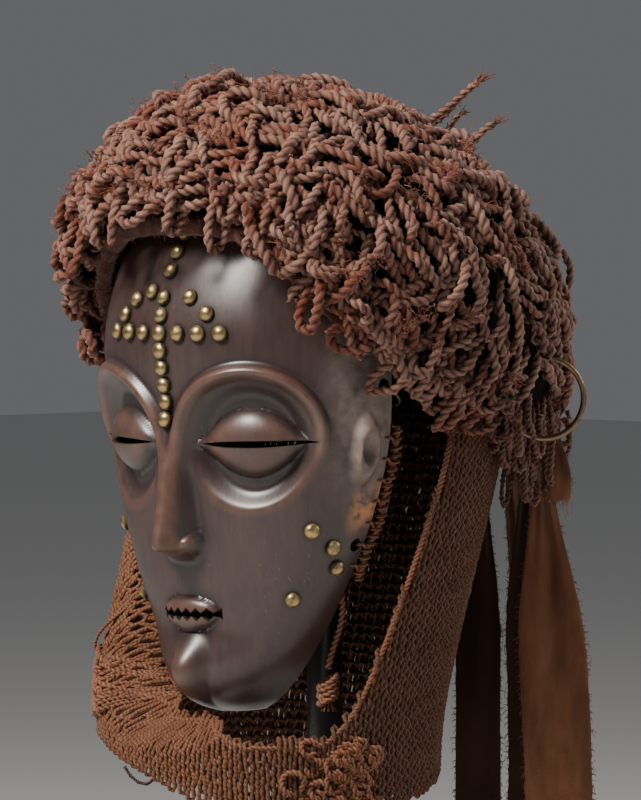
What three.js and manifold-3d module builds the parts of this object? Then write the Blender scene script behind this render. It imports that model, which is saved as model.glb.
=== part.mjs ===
// A carved wooden dance mask with a corded coiffure, a looped net collar and hanging cloth strips,
// held up by a padded post on a square foot. Millimetres, +Z up. The face looks along -Y and its
// left side is at +X. The origin is the centre of the foot's underside.

import * as THREE from "three";
import { mergeVertices } from "three/addons/utils/BufferGeometryUtils.js";
import Module from "manifold-3d";

// Gap between pieces that touch
const CLEARANCE = 0.3;

// Stand
const FOOT_WIDTH = 150;
const FOOT_THICKNESS = 14;
const FOOT_CORNER = 6;
const POST_DIAMETER = 16;
const POST_SEAT_DEPTH = 8;
const POST_SIDES = 20;
const SUPPORT_DROP = 22;

// Coiffure: an egg-shaped mass of cord loops on a fibre cap, open below
const COIFFURE_HEIGHT = 352;
const COIFFURE_FORWARD = 6;
const COIFFURE_HALF_WIDTH = 115;
const COIFFURE_HALF_LENGTH = 129;
const COIFFURE_HALF_HEIGHT = 93;
const COIFFURE_LEAN = 27.7;
const COIFFURE_WALL_FRONT = 34;
const COIFFURE_WALL_SIDE = 21;
const COIFFURE_WALL_TOP = 28;
const COIFFURE_EDGE_DROP = 64;
const COIFFURE_ARCH_RISE = 112;
const COIFFURE_ARCH_SPREAD = 52;
const COIFFURE_AROUND = 42;
const COIFFURE_DOWN = 12;
const LOOP_RELIEF = 7;
const BRIM_DIAMETER = 9;
const BRIM_SPREAD = 56;
const BRIM_PRESS = 2;
const BRIM_DROP = 1.2;
const TASSEL_DIAMETER = 10;
const TASSEL_LENGTH = 52;
const STRAND_DIAMETER = 4.5;
const STRAND_LENGTH = 58;

// Wooden face: its form is given in shares of its own height
const FACE_HEIGHT = 236;
const FACE_TOP_RISE = 52;
const FACE_LEAN = 4;
const FACE_RIM_WALL = 7;
const FACE_FRONT_WALL = 13;
const FACE_CHIN_FLOOR = 22;
const FACE_ROUND = 0.305 * FACE_HEIGHT;
const EYE_SLIT_HEIGHT = 3.2;
const MOUTH_GAP = 6;
const TEETH = 7;
const RIM_HOLE_DIAMETER = 6;
const RIM_HOLE_INSET = 5;

// Brass dome tacks
const TACK_DIAMETER = 7.4;
const TACK_HEIGHT = 2.4;
const TACK_GAP = 0.9;
const TACK_SPACE = 0.3;
const TACK_ROW_SPACE = 3.2;

// Net collar
const NET_THICKNESS = 3;
const NET_TOP_REACH = 0.92;
const NET_DROP = 26.5;
const NET_BOTTOM_SLANT = 13.6;
const NET_BOTTOM_DIP = 7.5;
const NET_FRONT_DROP = 12;
const NET_AROUND = 30;
const NET_DOWN = 6;

// Rings and cords
const HAIR_RING_DIAMETER = 39;
const HAIR_RING_WIRE = 2.6;
const EAR_RING_DIAMETER = 15;
const EAR_RING_WIRE = 1.6;
const LACING_DIAMETER = 5;
const LACING_OUT = 2.5;
const LACING_SWING = 1.5;
const FREE_CORD_DIAMETER = 3.2;
const KNOT_LENGTH = 19;
const KNOT_WIDTH = 12;

// Cloth strips: their widths and lengths are shares of the largest one's
const CLOTH_THICKNESS = 1.6;
const CLOTH_TUCK = 12;
const CLOTH_WIDTH = 27;
const CLOTH_LENGTH = 234;

const COIFFURE_EDGE_HEIGHT = COIFFURE_HEIGHT - COIFFURE_EDGE_DROP;
const FACE_BOTTOM = COIFFURE_HEIGHT + FACE_TOP_RISE - FACE_HEIGHT;
const NET_BOTTOM = FACE_BOTTOM - NET_DROP;
const NET_FRONT_TOP = FACE_BOTTOM - NET_FRONT_DROP;
const COIFFURE_CENTRE = new THREE.Vector3(0, -COIFFURE_FORWARD, COIFFURE_HEIGHT);

const radians = THREE.MathUtils.degToRad;
const { clamp, lerp, smoothstep } = THREE.MathUtils;
const UP = new THREE.Vector3(0, 0, 1);

// Solids from rings of points

function closedGeometry(points, faces) {
  const geometry = new THREE.BufferGeometry();
  geometry.setAttribute("position", new THREE.Float32BufferAttribute(points.flatMap((p) => p.toArray()), 3));
  let volume = 0;
  for (const [a, b, c] of faces) {
    volume += points[a].dot(new THREE.Vector3().crossVectors(points[b], points[c])) / 6;
  }
  const outward = volume > 0 ? faces : faces.map(([a, b, c]) => [a, c, b]);
  geometry.setIndex(outward.flat());
  return geometry;
}

// Joins rings of equal length into one skin. The ends are closed by a fan, or meet when looped is true.
// Each cell is folded along the diagonal that stands out further from the hub, where one is given.
function skin(rings, looped = false, hub = null) {
  const around = rings[0].length;
  const points = rings.flat();
  const faces = [];
  const last = looped ? rings.length : rings.length - 1;
  for (let row = 0; row < last; row += 1) {
    const next = (row + 1) % rings.length;
    for (let side = 0; side < around; side += 1) {
      const turn = (side + 1) % around;
      const [a, b] = [row * around + side, row * around + turn];
      const [c, d] = [next * around + turn, next * around + side];
      const reach = (i, j) => points[i].clone().add(points[j]).multiplyScalar(0.5).distanceTo(hub);
      if (hub && reach(b, d) > reach(a, c)) faces.push([a, b, d], [b, c, d]);
      else faces.push([a, b, c], [a, c, d]);
    }
  }
  if (!looped) {
    for (const row of [0, rings.length - 1]) {
      const middle = new THREE.Vector3();
      rings[row].forEach((point) => middle.addScaledVector(point, 1 / around));
      const tip = points.push(middle) - 1;
      for (let side = 0; side < around; side += 1) {
        const [a, b] = [row * around + side, row * around + ((side + 1) % around)];
        faces.push(row === 0 ? [tip, b, a] : [tip, a, b]);
      }
    }
  }
  return closedGeometry(points, faces);
}

// Rings of a round cord or wire along a list of points, in frames that do not twist
function tubeRings(points, radii, sides) {
  const curve = new THREE.CatmullRomCurve3(points, false, "centripetal");
  const steps = radii.length - 1;
  const frames = curve.computeFrenetFrames(steps, false);
  return radii.map((radius, step) => {
    const middle = curve.getPointAt(step / steps);
    return Array.from({ length: sides }, (_, side) => {
      const angle = (2 * Math.PI * side) / sides;
      return middle.clone()
        .addScaledVector(frames.normals[step], radius * Math.cos(angle))
        .addScaledVector(frames.binormals[step], radius * Math.sin(angle));
    });
  });
}

function evenTube(points, diameter, steps, sides) {
  return skin(tubeRings(points, Array(steps + 1).fill(diameter / 2), sides));
}

// Boolean work

const wasm = await Module();
wasm.setup();

function toSolid(geometry) {
  const bare = geometry.clone();
  bare.deleteAttribute("normal");
  bare.deleteAttribute("uv");
  const merged = mergeVertices(bare, 1e-4);
  return new wasm.Manifold(new wasm.Mesh({
    numProp: 3,
    vertProperties: new Float32Array(merged.attributes.position.array),
    triVerts: new Uint32Array(merged.index.array),
  }));
}

function toGeometry(solid) {
  const mesh = solid.getMesh();
  const geometry = new THREE.BufferGeometry();
  geometry.setAttribute("position", new THREE.BufferAttribute(new Float32Array(mesh.vertProperties), 3));
  geometry.setIndex(new THREE.BufferAttribute(new Uint32Array(mesh.triVerts), 1));
  return geometry;
}

function cut(geometry, cutters) {
  return toGeometry(cutters.reduce((solid, cutter) => solid.subtract(toSolid(cutter)), toSolid(geometry)));
}

function join(geometries) {
  return toGeometry(geometries.slice(1).reduce((solid, more) => solid.add(toSolid(more)), toSolid(geometries[0])));
}

// A smooth curve through a few control pairs
function curveThrough(pairs) {
  const slope = (i) => {
    const before = pairs[Math.max(i - 1, 0)];
    const after = pairs[Math.min(i + 1, pairs.length - 1)];
    return (after[1] - before[1]) / (after[0] - before[0]);
  };
  return (x) => {
    const inside = clamp(x, pairs[0][0], pairs.at(-1)[0]);
    const i = Math.max(0, Math.min(pairs.findIndex((pair) => pair[0] >= inside) - 1, pairs.length - 2));
    const [[x0, y0], [x1, y1]] = [pairs[i], pairs[i + 1]];
    const width = x1 - x0;
    const t = (inside - x0) / width;
    const rise = slope(i) * width * t * (1 - t) ** 2 + slope(i + 1) * width * t * t * (t - 1);
    return y0 + (y1 - y0) * t * t * (3 - 2 * t) + rise;
  };
}

// Wooden face: half-width, front and rim at each share of the height, as shares of the height

const halfWidth = curveThrough([
  [0, 0.05], [0.03, 0.096], [0.09, 0.148], [0.17, 0.198], [0.27, 0.248], [0.38, 0.29],
  [0.5, 0.318], [0.62, 0.324], [0.74, 0.314], [0.85, 0.292], [0.93, 0.262], [1, 0.225],
]);
const frontReach = curveThrough([
  [0, 0.300], [0.02, 0.352], [0.05, 0.386], [0.1, 0.400], [0.17, 0.386], [0.27, 0.394],
  [0.38, 0.402], [0.5, 0.411], [0.62, 0.424], [0.74, 0.430], [0.85, 0.392], [0.93, 0.336], [1, 0.278],
]);
const rimReach = curveThrough([[0, 0.254], [0.1, 0.229], [0.27, 0.195], [0.5, 0.157], [0.74, 0.136], [1, 0.110]]);

const EYE = { side: 0.174, rise: 0.525, halfWidth: 0.136, halfHeight: 0.124, depth: 0.027 };
const LID = { halfWidth: 0.122, halfHeight: 0.066, bulge: 0.036 };
const BROW = { height: 0.018, spread: 0.16 };
const NOSE = { root: 0.6, tip: 0.325, rootHalf: 0.019, tipHalf: 0.034, height: 0.082, wing: 0.04 };
const MOUTH = { rise: 0.2, halfWidth: 0.1, halfHeight: 0.034, fullness: 0.024 };
const CHIN = { rise: 0.085, spread: 0.1, fullness: 0.036 };
const EAR = { side: 0.425, rise: 0.5, halfHeight: 0.065, halfWidth: 0.032, relief: 0.02 };

const swell = (x) => (Math.abs(x) < 1 ? (1 - x * x) ** 2 : 0);

function eyeRelief(side, rise) {
  const across = side - EYE.side;
  const up = rise - EYE.rise;
  const ring = Math.hypot(across / EYE.halfWidth, up / EYE.halfHeight);
  const socket = -EYE.depth * (1 - smoothstep(ring, 0.7, 1.04));
  const upper = smoothstep(up / EYE.halfHeight, -0.5, 0.4);
  const brow = BROW.height * swell((ring - 1.12) / BROW.spread) * upper;
  const taper = 1 - (across / LID.halfWidth) ** 2;
  const height = LID.halfHeight * Math.max(taper, 0);
  const closeness = height > 0 ? Math.abs(up) / height : 1;
  const lid = closeness < 1 ? LID.bulge * (1 - closeness ** 2) ** 0.7 * taper ** 0.6 : 0;
  return socket + brow + lid;
}

function noseRelief(side, rise) {
  const along = clamp((NOSE.root - rise) / (NOSE.root - NOSE.tip), 0, 1);
  const half = lerp(NOSE.rootHalf, NOSE.tipHalf, along);
  const under = smoothstep(rise, NOSE.tip - 0.03, NOSE.tip + 0.012);
  const start = smoothstep(NOSE.root - rise, 0, 0.13);
  const ridge = NOSE.height * lerp(0.22, 1, along ** 1.5) * swell(side / (1.7 * half)) * under * start;
  const wing = NOSE.wing * swell(Math.hypot((side - 0.036) / 0.03, (rise - NOSE.tip - 0.012) / 0.034));
  return Math.max(ridge, wing);
}

function mouthRelief(side, rise) {
  const across = side / MOUTH.halfWidth;
  const up = (rise - MOUTH.rise) / MOUTH.halfHeight;
  return MOUTH.fullness * Math.sqrt(Math.max(0, 1 - across ** 2 - up ** 2));
}

function earRelief(side, rise) {
  const ring = Math.hypot((side - EAR.side) / EAR.halfWidth, (rise - EAR.rise) / EAR.halfHeight);
  return EAR.relief * swell((ring - 0.62) / 0.55);
}

function faceRelief(side, rise) {
  const chin = CHIN.fullness * swell(Math.hypot(side, rise - CHIN.rise) / CHIN.spread);
  return eyeRelief(side, rise) + noseRelief(side, rise) + mouthRelief(side, rise) + earRelief(side, rise) + chin;
}

// Leans an upright face point forward about the middle of the face
function leanFace(point) {
  const pivot = new THREE.Vector3(0, -0.3 * FACE_HEIGHT, FACE_BOTTOM + FACE_HEIGHT / 2);
  return point.sub(pivot).applyAxisAngle(new THREE.Vector3(1, 0, 0), radians(FACE_LEAN)).add(pivot);
}

// A point of the carved surface: angle from the middle line, share of the height, and depth below the skin
function facePoint(angle, share, carved = true) {
  const width = halfWidth(share) * FACE_HEIGHT;
  const rim = -rimReach(share) * FACE_HEIGHT;
  const depth = frontReach(share) * FACE_HEIGHT + rim;
  const side = Math.sin(angle);
  const front = Math.max(Math.cos(angle), 0) ** 0.85;
  const point = new THREE.Vector3(width * side, rim - depth * front, FACE_BOTTOM + share * FACE_HEIGHT);
  if (carved) {
    const relief = FACE_HEIGHT * faceRelief((Math.abs(angle) * FACE_ROUND) / FACE_HEIGHT, share);
    const out = new THREE.Vector3(side / width, -Math.cos(angle) / depth, 0).normalize();
    point.addScaledVector(out, relief);
  }
  return leanFace(point);
}

// Stops between bounds, with a number of even steps in each stretch
function stops(bounds, steps) {
  const inner = steps.flatMap((count, n) => (
    Array.from({ length: count }, (_, i) => lerp(bounds[n], bounds[n + 1], i / count))
  ));
  return [...inner, bounds.at(-1)];
}

// The rows and columns are closest where the eyes, the nose and the mouth are
function faceSkin() {
  const rows = stops([0, 0.12, 0.38, 0.68, 1], [4, 8, 14, 4]);
  const half = stops([0, 11, 58, 90], [3, 11, 3]);
  const columns = [...half.slice(1).reverse().map((angle) => -angle), ...half];
  return skin(rows.map((share) => columns.map((angle) => facePoint(radians(angle), share))));
}

// The hollow runs out through the open back and the top
function faceHollow() {
  const floor = FACE_CHIN_FLOOR / FACE_HEIGHT;
  const columns = 12;
  return skin(Array.from({ length: 13 }, (_, row) => {
    const share = lerp(floor, 1, row / 12);
    const width = halfWidth(share) * FACE_HEIGHT - FACE_RIM_WALL;
    const rim = -rimReach(share) * FACE_HEIGHT;
    const front = -frontReach(share) * FACE_HEIGHT + FACE_FRONT_WALL;
    const height = FACE_BOTTOM + share * FACE_HEIGHT + (row === 12 ? 8 : 0);
    const arch = Array.from({ length: columns + 1 }, (_, column) => {
      const angle = radians(lerp(-90, 90, column / columns));
      return new THREE.Vector3(width * Math.sin(angle), rim + (front - rim) * Math.cos(angle) ** 0.85, height);
    });
    const behind = [width, -width].map((x) => new THREE.Vector3(x, rim + 40, height));
    return [...arch, ...behind].map(leanFace);
  }));
}

// A flat outline in X and Z pushed through the front wall
function frontCutter(outline) {
  const shape = new THREE.Shape(outline.map(([x, z]) => new THREE.Vector2(x, z)));
  const geometry = new THREE.ExtrudeGeometry(shape, { depth: 0.34 * FACE_HEIGHT, bevelEnabled: false });
  geometry.rotateX(Math.PI / 2).translate(0, -0.21 * FACE_HEIGHT, 0);
  const position = geometry.attributes.position;
  for (let i = 0; i < position.count; i += 1) {
    position.setXYZ(i, ...leanFace(new THREE.Vector3().fromBufferAttribute(position, i)).toArray());
  }
  return geometry;
}

const eyeSlit = (sign) => {
  const half = 0.11 * FACE_HEIGHT;
  const middle = sign * Math.sin((EYE.side * FACE_HEIGHT) / FACE_ROUND) * halfWidth(EYE.rise) * FACE_HEIGHT;
  const height = FACE_BOTTOM + EYE.rise * FACE_HEIGHT;
  const bend = (t) => (EYE_SLIT_HEIGHT / 2) * (1 - t * t);
  const marks = [-1, -0.5, 0, 0.5, 1];
  const top = marks.map((t) => [middle + half * t, height + bend(t)]);
  const bottom = marks.slice(1, -1).reverse().map((t) => [middle + half * t, height - bend(t)]);
  return frontCutter([...top, ...bottom]);
};

// The mouth is open between two rows of filed, pointed teeth
function mouthOpening() {
  const half = 0.075 * FACE_HEIGHT;
  const height = FACE_BOTTOM + MOUTH.rise * FACE_HEIGHT;
  const edge = (sign) => Array.from({ length: 2 * TEETH + 1 }, (_, i) => {
    const tooth = i % 2 === 0 ? 1 : 0.25;
    return [lerp(-half, half, i / (2 * TEETH)), height + (sign * tooth * MOUTH_GAP) / 2];
  });
  return frontCutter([...edge(1), ...edge(-1).reverse()]);
}

// Middle of a hole near the rim, at a share of the height, on the left (1) or right (-1) side
function rimHole(share, sign) {
  const x = halfWidth(share) * FACE_HEIGHT - FACE_RIM_WALL / 2;
  const y = -rimReach(share) * FACE_HEIGHT - RIM_HOLE_INSET;
  return leanFace(new THREE.Vector3(sign * x, y, FACE_BOTTOM + share * FACE_HEIGHT));
}

const RIM_HOLES = [0.32, 0.62, 0.76];
const EAR_RING_HOLE = 0.62;

function rimDrill(share, sign) {
  const drill = new THREE.CylinderGeometry(RIM_HOLE_DIAMETER / 2, RIM_HOLE_DIAMETER / 2, 4 * FACE_RIM_WALL, 6);
  const middle = rimHole(share, sign);
  return drill.rotateZ(Math.PI / 2).translate(middle.x, middle.y, middle.z);
}

function woodenFace() {
  const holes = RIM_HOLES.flatMap((share) => [rimDrill(share, 1), rimDrill(share, -1)]);
  return cut(faceSkin(), [faceHollow(), eyeSlit(1), eyeSlit(-1), mouthOpening(), ...holes]);
}

// The space that the face takes up above a share of its height, with its hollow and a clearance, which the
// coiffure and the net are fitted around
function faceSpace(lowest, clearance) {
  const columns = 16;
  return skin(Array.from({ length: 9 }, (_, row) => {
    const share = lerp(lowest, 1, row / 8);
    const lift = row === 8 ? CLEARANCE : 0;
    const front = Array.from({ length: columns + 1 }, (_, column) => {
      const angle = radians(lerp(-90, 90, column / columns));
      const point = facePoint(angle, share, false);
      const spread = new THREE.Vector3(Math.sin(angle), -Math.cos(angle), 0).multiplyScalar(clearance);
      return point.add(spread).addScaledVector(UP, lift);
    });
    const behind = [1, -1].map((sign) => (
      facePoint(sign * Math.PI / 2, share, false).add(new THREE.Vector3(sign * clearance, CLEARANCE, lift))
    ));
    return [...front, ...behind];
  }));
}

// Tacks: the angle and share of the face that lie behind a point seen from the front

function faceSpot(x, z) {
  const share = (z - FACE_BOTTOM) / FACE_HEIGHT;
  const angle = Math.asin(clamp(x / (halfWidth(share) * FACE_HEIGHT), -1, 1));
  const step = 0.01;
  const middle = facePoint(angle, share);
  const across = facePoint(angle + step, share).sub(facePoint(angle - step, share));
  const up = facePoint(angle, share + step).sub(facePoint(angle, share - step));
  const out = across.cross(up).normalize();
  // The tack rests on the highest wood under its rim
  const reach = TACK_DIAMETER / 2;
  const rests = Array.from({ length: 12 }, (_, i) => {
    const around = (Math.PI * i) / 6;
    const turned = angle + (reach * Math.cos(around)) / FACE_ROUND;
    return facePoint(turned, share + (reach * Math.sin(around)) / FACE_HEIGHT).sub(middle).dot(out);
  });
  return { middle, out, lift: Math.max(0, ...rests) };
}

// The line runs down from just under the brim to the root of the nose, with one wider space in it
const TACK_LINE = { top: 0.916, bottom: 0.572, crossing: 5.5 };
const TACK_ARC = { across: 0.119, up: 0.079, angles: [-66, -40, -17, 32, 62] };
const TACK_CHEEK = [[0.246, 0.356], [0.258, 0.32], [0.248, 0.28], [0.195, 0.225]];

function tackSpots() {
  const spots = [];
  const drop = (TACK_LINE.top - TACK_LINE.bottom) * FACE_HEIGHT;
  const count = Math.floor(drop / (TACK_DIAMETER + TACK_SPACE)) + 1;
  const pitch = drop / (count - 0.5);
  const top = FACE_BOTTOM + TACK_LINE.top * FACE_HEIGHT;
  for (let i = 0; i < count; i += 1) {
    spots.push([`tack_line_${count - i}`, 0, top - pitch * (i < 3 ? i : i + 0.5)]);
  }
  const crossing = top - pitch * TACK_LINE.crossing;
  const across = TACK_DIAMETER + TACK_ROW_SPACE;
  [-3, -2, -1, 1, 2, 3].forEach((i, n) => spots.push([`tack_row_${n + 1}`, across * i, crossing]));
  TACK_ARC.angles.forEach((degrees, n) => {
    const angle = radians(degrees);
    const x = TACK_ARC.across * FACE_HEIGHT * Math.sin(angle);
    spots.push([`tack_arc_${n + 1}`, x, crossing + TACK_ARC.up * FACE_HEIGHT * Math.cos(angle)]);
  });
  for (const [side, sign] of [["left", 1], ["right", -1]]) {
    TACK_CHEEK.forEach(([x, rise], n) => {
      spots.push([`tack_cheek_${side}_${n + 1}`, sign * x * FACE_HEIGHT, FACE_BOTTOM + rise * FACE_HEIGHT]);
    });
  }
  return spots;
}

// Room for the topmost tack, which the front roll is pressed over
function topTackSpace() {
  const [, x, z] = tackSpots()[0];
  const { middle, out, lift } = faceSpot(x, z);
  const radius = TACK_DIAMETER / 2 + 2 * CLEARANCE;
  const depth = lift + TACK_GAP + TACK_HEIGHT + 2 * CLEARANCE;
  const turn = new THREE.Quaternion().setFromUnitVectors(new THREE.Vector3(0, 1, 0), out);
  return new THREE.CylinderGeometry(radius, radius, depth, 8).applyQuaternion(turn)
    .translate(...middle.addScaledVector(out, depth / 2).toArray());
}

function tackGeometry() {
  const radius = TACK_DIAMETER / 2;
  const profile = [[0, 0], [radius, 0], [0.74 * radius, 0.7 * TACK_HEIGHT], [0, TACK_HEIGHT]];
  const dome = new THREE.LatheGeometry(profile.map(([x, y]) => new THREE.Vector2(x, y)), 8);
  return mergeVertices(stripped(dome), 1e-4);
}

function stripped(geometry) {
  geometry.deleteAttribute("normal");
  geometry.deleteAttribute("uv");
  return geometry;
}

// Coiffure: reach of its outer surface from the centre, in any direction

const longAxis = new THREE.Vector3(0, Math.cos(radians(COIFFURE_LEAN)), -Math.sin(radians(COIFFURE_LEAN)));
const tallAxis = new THREE.Vector3(0, Math.sin(radians(COIFFURE_LEAN)), Math.cos(radians(COIFFURE_LEAN)));

function eggProduct(a, b) {
  return (a.x * b.x) / COIFFURE_HALF_WIDTH ** 2
    + (a.dot(longAxis) * b.dot(longAxis)) / COIFFURE_HALF_LENGTH ** 2
    + (a.dot(tallAxis) * b.dot(tallAxis)) / COIFFURE_HALF_HEIGHT ** 2;
}

const heading = (turn) => new THREE.Vector3(Math.sin(radians(turn)), -Math.cos(radians(turn)), 0);

// Height of the lower edge: an arch over the face, level at the sides and the back
function edgeHeight(turn) {
  const away = Math.abs(((turn + 540) % 360) - 180);
  return COIFFURE_EDGE_HEIGHT + COIFFURE_ARCH_RISE / (1 + (away / COIFFURE_ARCH_SPREAD) ** 3.6);
}

function edgeElevation(turn) {
  const level = heading(turn);
  const rise = edgeHeight(turn) - COIFFURE_CENTRE.z;
  const a = eggProduct(level, level);
  const b = 2 * rise * eggProduct(level, UP);
  const c = rise * rise * eggProduct(UP, UP) - 1;
  const reach = (-b + Math.sqrt(b * b - 4 * a * c)) / (2 * a);
  return Math.atan2(rise, reach);
}

function coiffureWall(turn, climb) {
  const low = lerp(COIFFURE_WALL_SIDE, COIFFURE_WALL_FRONT, Math.cos(radians(turn)) ** 4);
  return lerp(low, COIFFURE_WALL_TOP, climb);
}

// A point at a turn from the front, a climb from the edge (0) to the crown (1), and a depth of the wall
function coiffurePoint(turn, climb, depth, relief = 0) {
  const elevation = lerp(edgeElevation(turn), Math.PI / 2, climb);
  const direction = heading(turn).multiplyScalar(Math.cos(elevation)).addScaledVector(UP, Math.sin(elevation));
  const reach = 1 / Math.sqrt(eggProduct(direction, direction));
  return COIFFURE_CENTRE.clone().addScaledVector(direction, reach + relief - depth * coiffureWall(turn, climb));
}

// Uneven but repeatable number between 0 and 1
const scatter = (n) => Math.abs(Math.sin(n * 127.1 + 11.7) * 43758.5453) % 1;

// The lining's rings, which the support under it follows
const LINING_CLIMBS = [0, 0.3, 0.6, 0.9];

function coiffureShell() {
  const ring = (climb, depth, relief) => Array.from({ length: COIFFURE_AROUND }, (_, side) => (
    coiffurePoint((360 * side) / COIFFURE_AROUND, climb, depth, relief(side))
  ));
  const rings = [];
  for (let row = COIFFURE_DOWN; row >= 0; row -= 1) {
    const fade = Math.min(1, (COIFFURE_DOWN - row) / 2, row / 1.5);
    const knobs = (side) => {
      const lock = row % 2 === 0 && (side + row / 2) % 2 === 0 ? 1 : 0;
      return LOOP_RELIEF * fade * (lock - 0.25 + 0.4 * (scatter(row * 61 + side) - 0.5));
    };
    rings.push(ring(Math.min(row / COIFFURE_DOWN, 0.985), 0, knobs));
  }
  LINING_CLIMBS.forEach((climb) => rings.push(ring(climb, 1, () => 0)));
  return skin(rings, false, COIFFURE_CENTRE);
}

// A stuffed roll along the front edge, under the loops
function brim() {
  const turns = Array.from({ length: 13 }, (_, i) => lerp(-BRIM_SPREAD, BRIM_SPREAD, i / 12));
  const points = turns.map((turn) => {
    const depth = 1 - (0.5 * BRIM_DIAMETER - BRIM_PRESS) / coiffureWall(turn, 0);
    return coiffurePoint(turn, 0, depth).addScaledVector(UP, -BRIM_DROP);
  });
  const radii = Array.from({ length: 19 }, (_, i) => (BRIM_DIAMETER / 2) * (0.72 + 0.28 * Math.sin((Math.PI * i) / 18)));
  return skin(tubeRings(points, radii, 8));
}

// Longer cords that hang in a bunch behind the left ear
function tassels() {
  return [147, 154, 161, 168].map((turn, n) => {
    const top = coiffurePoint(turn, 0.02, 0.64);
    const fall = TASSEL_LENGTH * (0.72 + 0.28 * scatter(n + 3));
    const points = [0, 0.5, 1].map((t) => top.clone().add(new THREE.Vector3(-3 * t, -2 * t, -fall * t)));
    const radii = [0.8, 1, 1.1, 0.9, 0.4].map((share) => (share * TASSEL_DIAMETER) / 2);
    return skin(tubeRings(points, radii, 6));
  });
}

// Frayed ends that stand up from the crown at the back
function strands() {
  return [[156, 0.6, 1, 1], [150, 0.52, 0.8, 1.3]].map(([turn, climb, length, lean]) => {
    const root = coiffurePoint(turn, climb, 0.5);
    const points = [0, 0.4, 0.7, 1].map((t) => {
      const out = heading(turn).multiplyScalar(0.55 * lean * t);
      return root.clone().add(out.addScaledVector(UP, t * (1 - 0.2 * t)).multiplyScalar(length * STRAND_LENGTH));
    });
    return evenTube(points, STRAND_DIAMETER, 5, 6);
  });
}

function torusGeometry(diameter, wire, around, sides) {
  return new THREE.TorusGeometry((diameter - wire) / 2, wire / 2, sides, around);
}

const ringPlace = { turn: 118, height: COIFFURE_EDGE_HEIGHT + 21, inset: -5, facing: 46 };

// Puts a ring upright where it threads the loops at the lower edge
function placeHairRing(geometry) {
  const middle = coiffurePoint(ringPlace.turn, 0, 0);
  const out = heading(ringPlace.turn);
  middle.z = ringPlace.height;
  middle.addScaledVector(out, -ringPlace.inset);
  return geometry.rotateX(Math.PI / 2).rotateZ(radians(ringPlace.facing)).translate(...middle.toArray());
}

// Room for the hair ring where it threads the loops
function hairRingSpace() {
  return placeHairRing(torusGeometry(HAIR_RING_DIAMETER + 2 * CLEARANCE, HAIR_RING_WIRE + 4 * CLEARANCE, 20, 6));
}

const coiffureWhole = join([coiffureShell(), brim(), ...tassels(), ...strands()]);

function coiffure() {
  return cut(coiffureWhole, [hairRingSpace(), faceSpace(0.4, 4 * CLEARANCE), topTackSpace()]);
}

// What hangs from the coiffure ends just under it
function trimBelowCoiffure(geometry) {
  const lowered = coiffureWhole.clone().translate(0, 0, -2 * CLEARANCE);
  return cut(geometry, [lowered, coiffureWhole]);
}

// Net collar: its section drifts forward and to the right on the way down. Shares of the face's height.

const netMiddleX = curveThrough([[-0.16, -0.042], [0.01, -0.042], [0.45, -0.013], [0.56, -0.008]]);
const netMiddleY = curveThrough([[-0.16, -0.11], [0.01, -0.106], [0.45, -0.038], [0.56, -0.025]]);
const netHalfX = curveThrough([[-0.16, 0.309], [0.01, 0.322], [0.45, 0.373], [0.56, 0.377]]);
const netHalfY = curveThrough([[-0.16, 0.322], [0.01, 0.331], [0.45, 0.339], [0.56, 0.347]]);

// The lower edge slants down to the left, and dips at the left front and the right back
const netBottom = (turn) => NET_BOTTOM - NET_BOTTOM_SLANT * Math.cos(radians(turn - 98))
  - NET_BOTTOM_DIP * Math.cos(radians(2 * turn - 88));

// Share of the full height that the upper edge keeps: low under the chin, full at the sides and back
const netClimb = curveThrough([
  [-180, 1], [-76, 1], [-66, 0.75], [-56, 0.5], [-40, 0.24], [-28, 0.12], [-12, 0.04], [0, 0], [56, 0], [68, 0.03],
  [77, 0.16], [83, 0.42], [88, 0.8], [92, 1], [180, 1],
]);

function netHead(turn) {
  return coiffurePoint(turn, 0.06, NET_TOP_REACH);
}

// The share of the face where the rim meets the net, on the right side
const netRimShare = curveThrough([[-66, 0.42], [-56, 0.28], [-40, 0.12], [-28, 0.03]]);

// Where the net is laced to the outside of the right rim
function netLacing(away) {
  const share = netRimShare(away);
  const x = -halfWidth(share) * FACE_HEIGHT - 0.5 * NET_THICKNESS - 7 * CLEARANCE;
  return leanFace(new THREE.Vector3(x, -rimReach(share) * FACE_HEIGHT, FACE_BOTTOM + share * FACE_HEIGHT));
}

function netPoint(turn, share, offset) {
  const away = ((turn + 540) % 360) - 180;
  const climb = clamp(netClimb(away), 0, 1);
  const head = netHead(turn);
  const top = lerp(NET_FRONT_TOP, head.z, climb);
  const height = lerp(netBottom(turn), top, share);
  const out = heading(turn);
  const level = (height - FACE_BOTTOM) / FACE_HEIGHT;
  const body = new THREE.Vector3(
    FACE_HEIGHT * (netMiddleX(level) + netHalfX(level) * out.x),
    FACE_HEIGHT * (netMiddleY(level) + netHalfY(level) * out.y),
    height,
  );
  const gather = smoothstep(height, 0.5 * (head.z + FACE_BOTTOM + 0.4 * FACE_HEIGHT), head.z);
  body.lerp(new THREE.Vector3(head.x, head.y, height), gather);
  const rightFront = smoothstep(away, -76, -66) * (1 - smoothstep(away, -28, -6));
  body.lerp(netLacing(away), smoothstep(share, 0.45, 1) * rightFront);
  return body.addScaledVector(out, offset);
}

function net() {
  const ring = (share, offset) => Array.from({ length: NET_AROUND }, (_, side) => (
    netPoint((360 * side) / NET_AROUND, share, offset)
  ));
  const rings = [];
  for (let row = 0; row <= NET_DOWN; row += 1) rings.push(ring(row / NET_DOWN, NET_THICKNESS / 2));
  for (let row = NET_DOWN; row >= 0; row -= 1) rings.push(ring(row / NET_DOWN, -NET_THICKNESS / 2));
  const rooms = [faceSpace(0.02, 2 * CLEARANCE), hairRingSpace(), earRingSpace()];
  return cut(trimBelowCoiffure(skin(rings, true)), rooms);
}

// Rings, lacing and free cord

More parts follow.
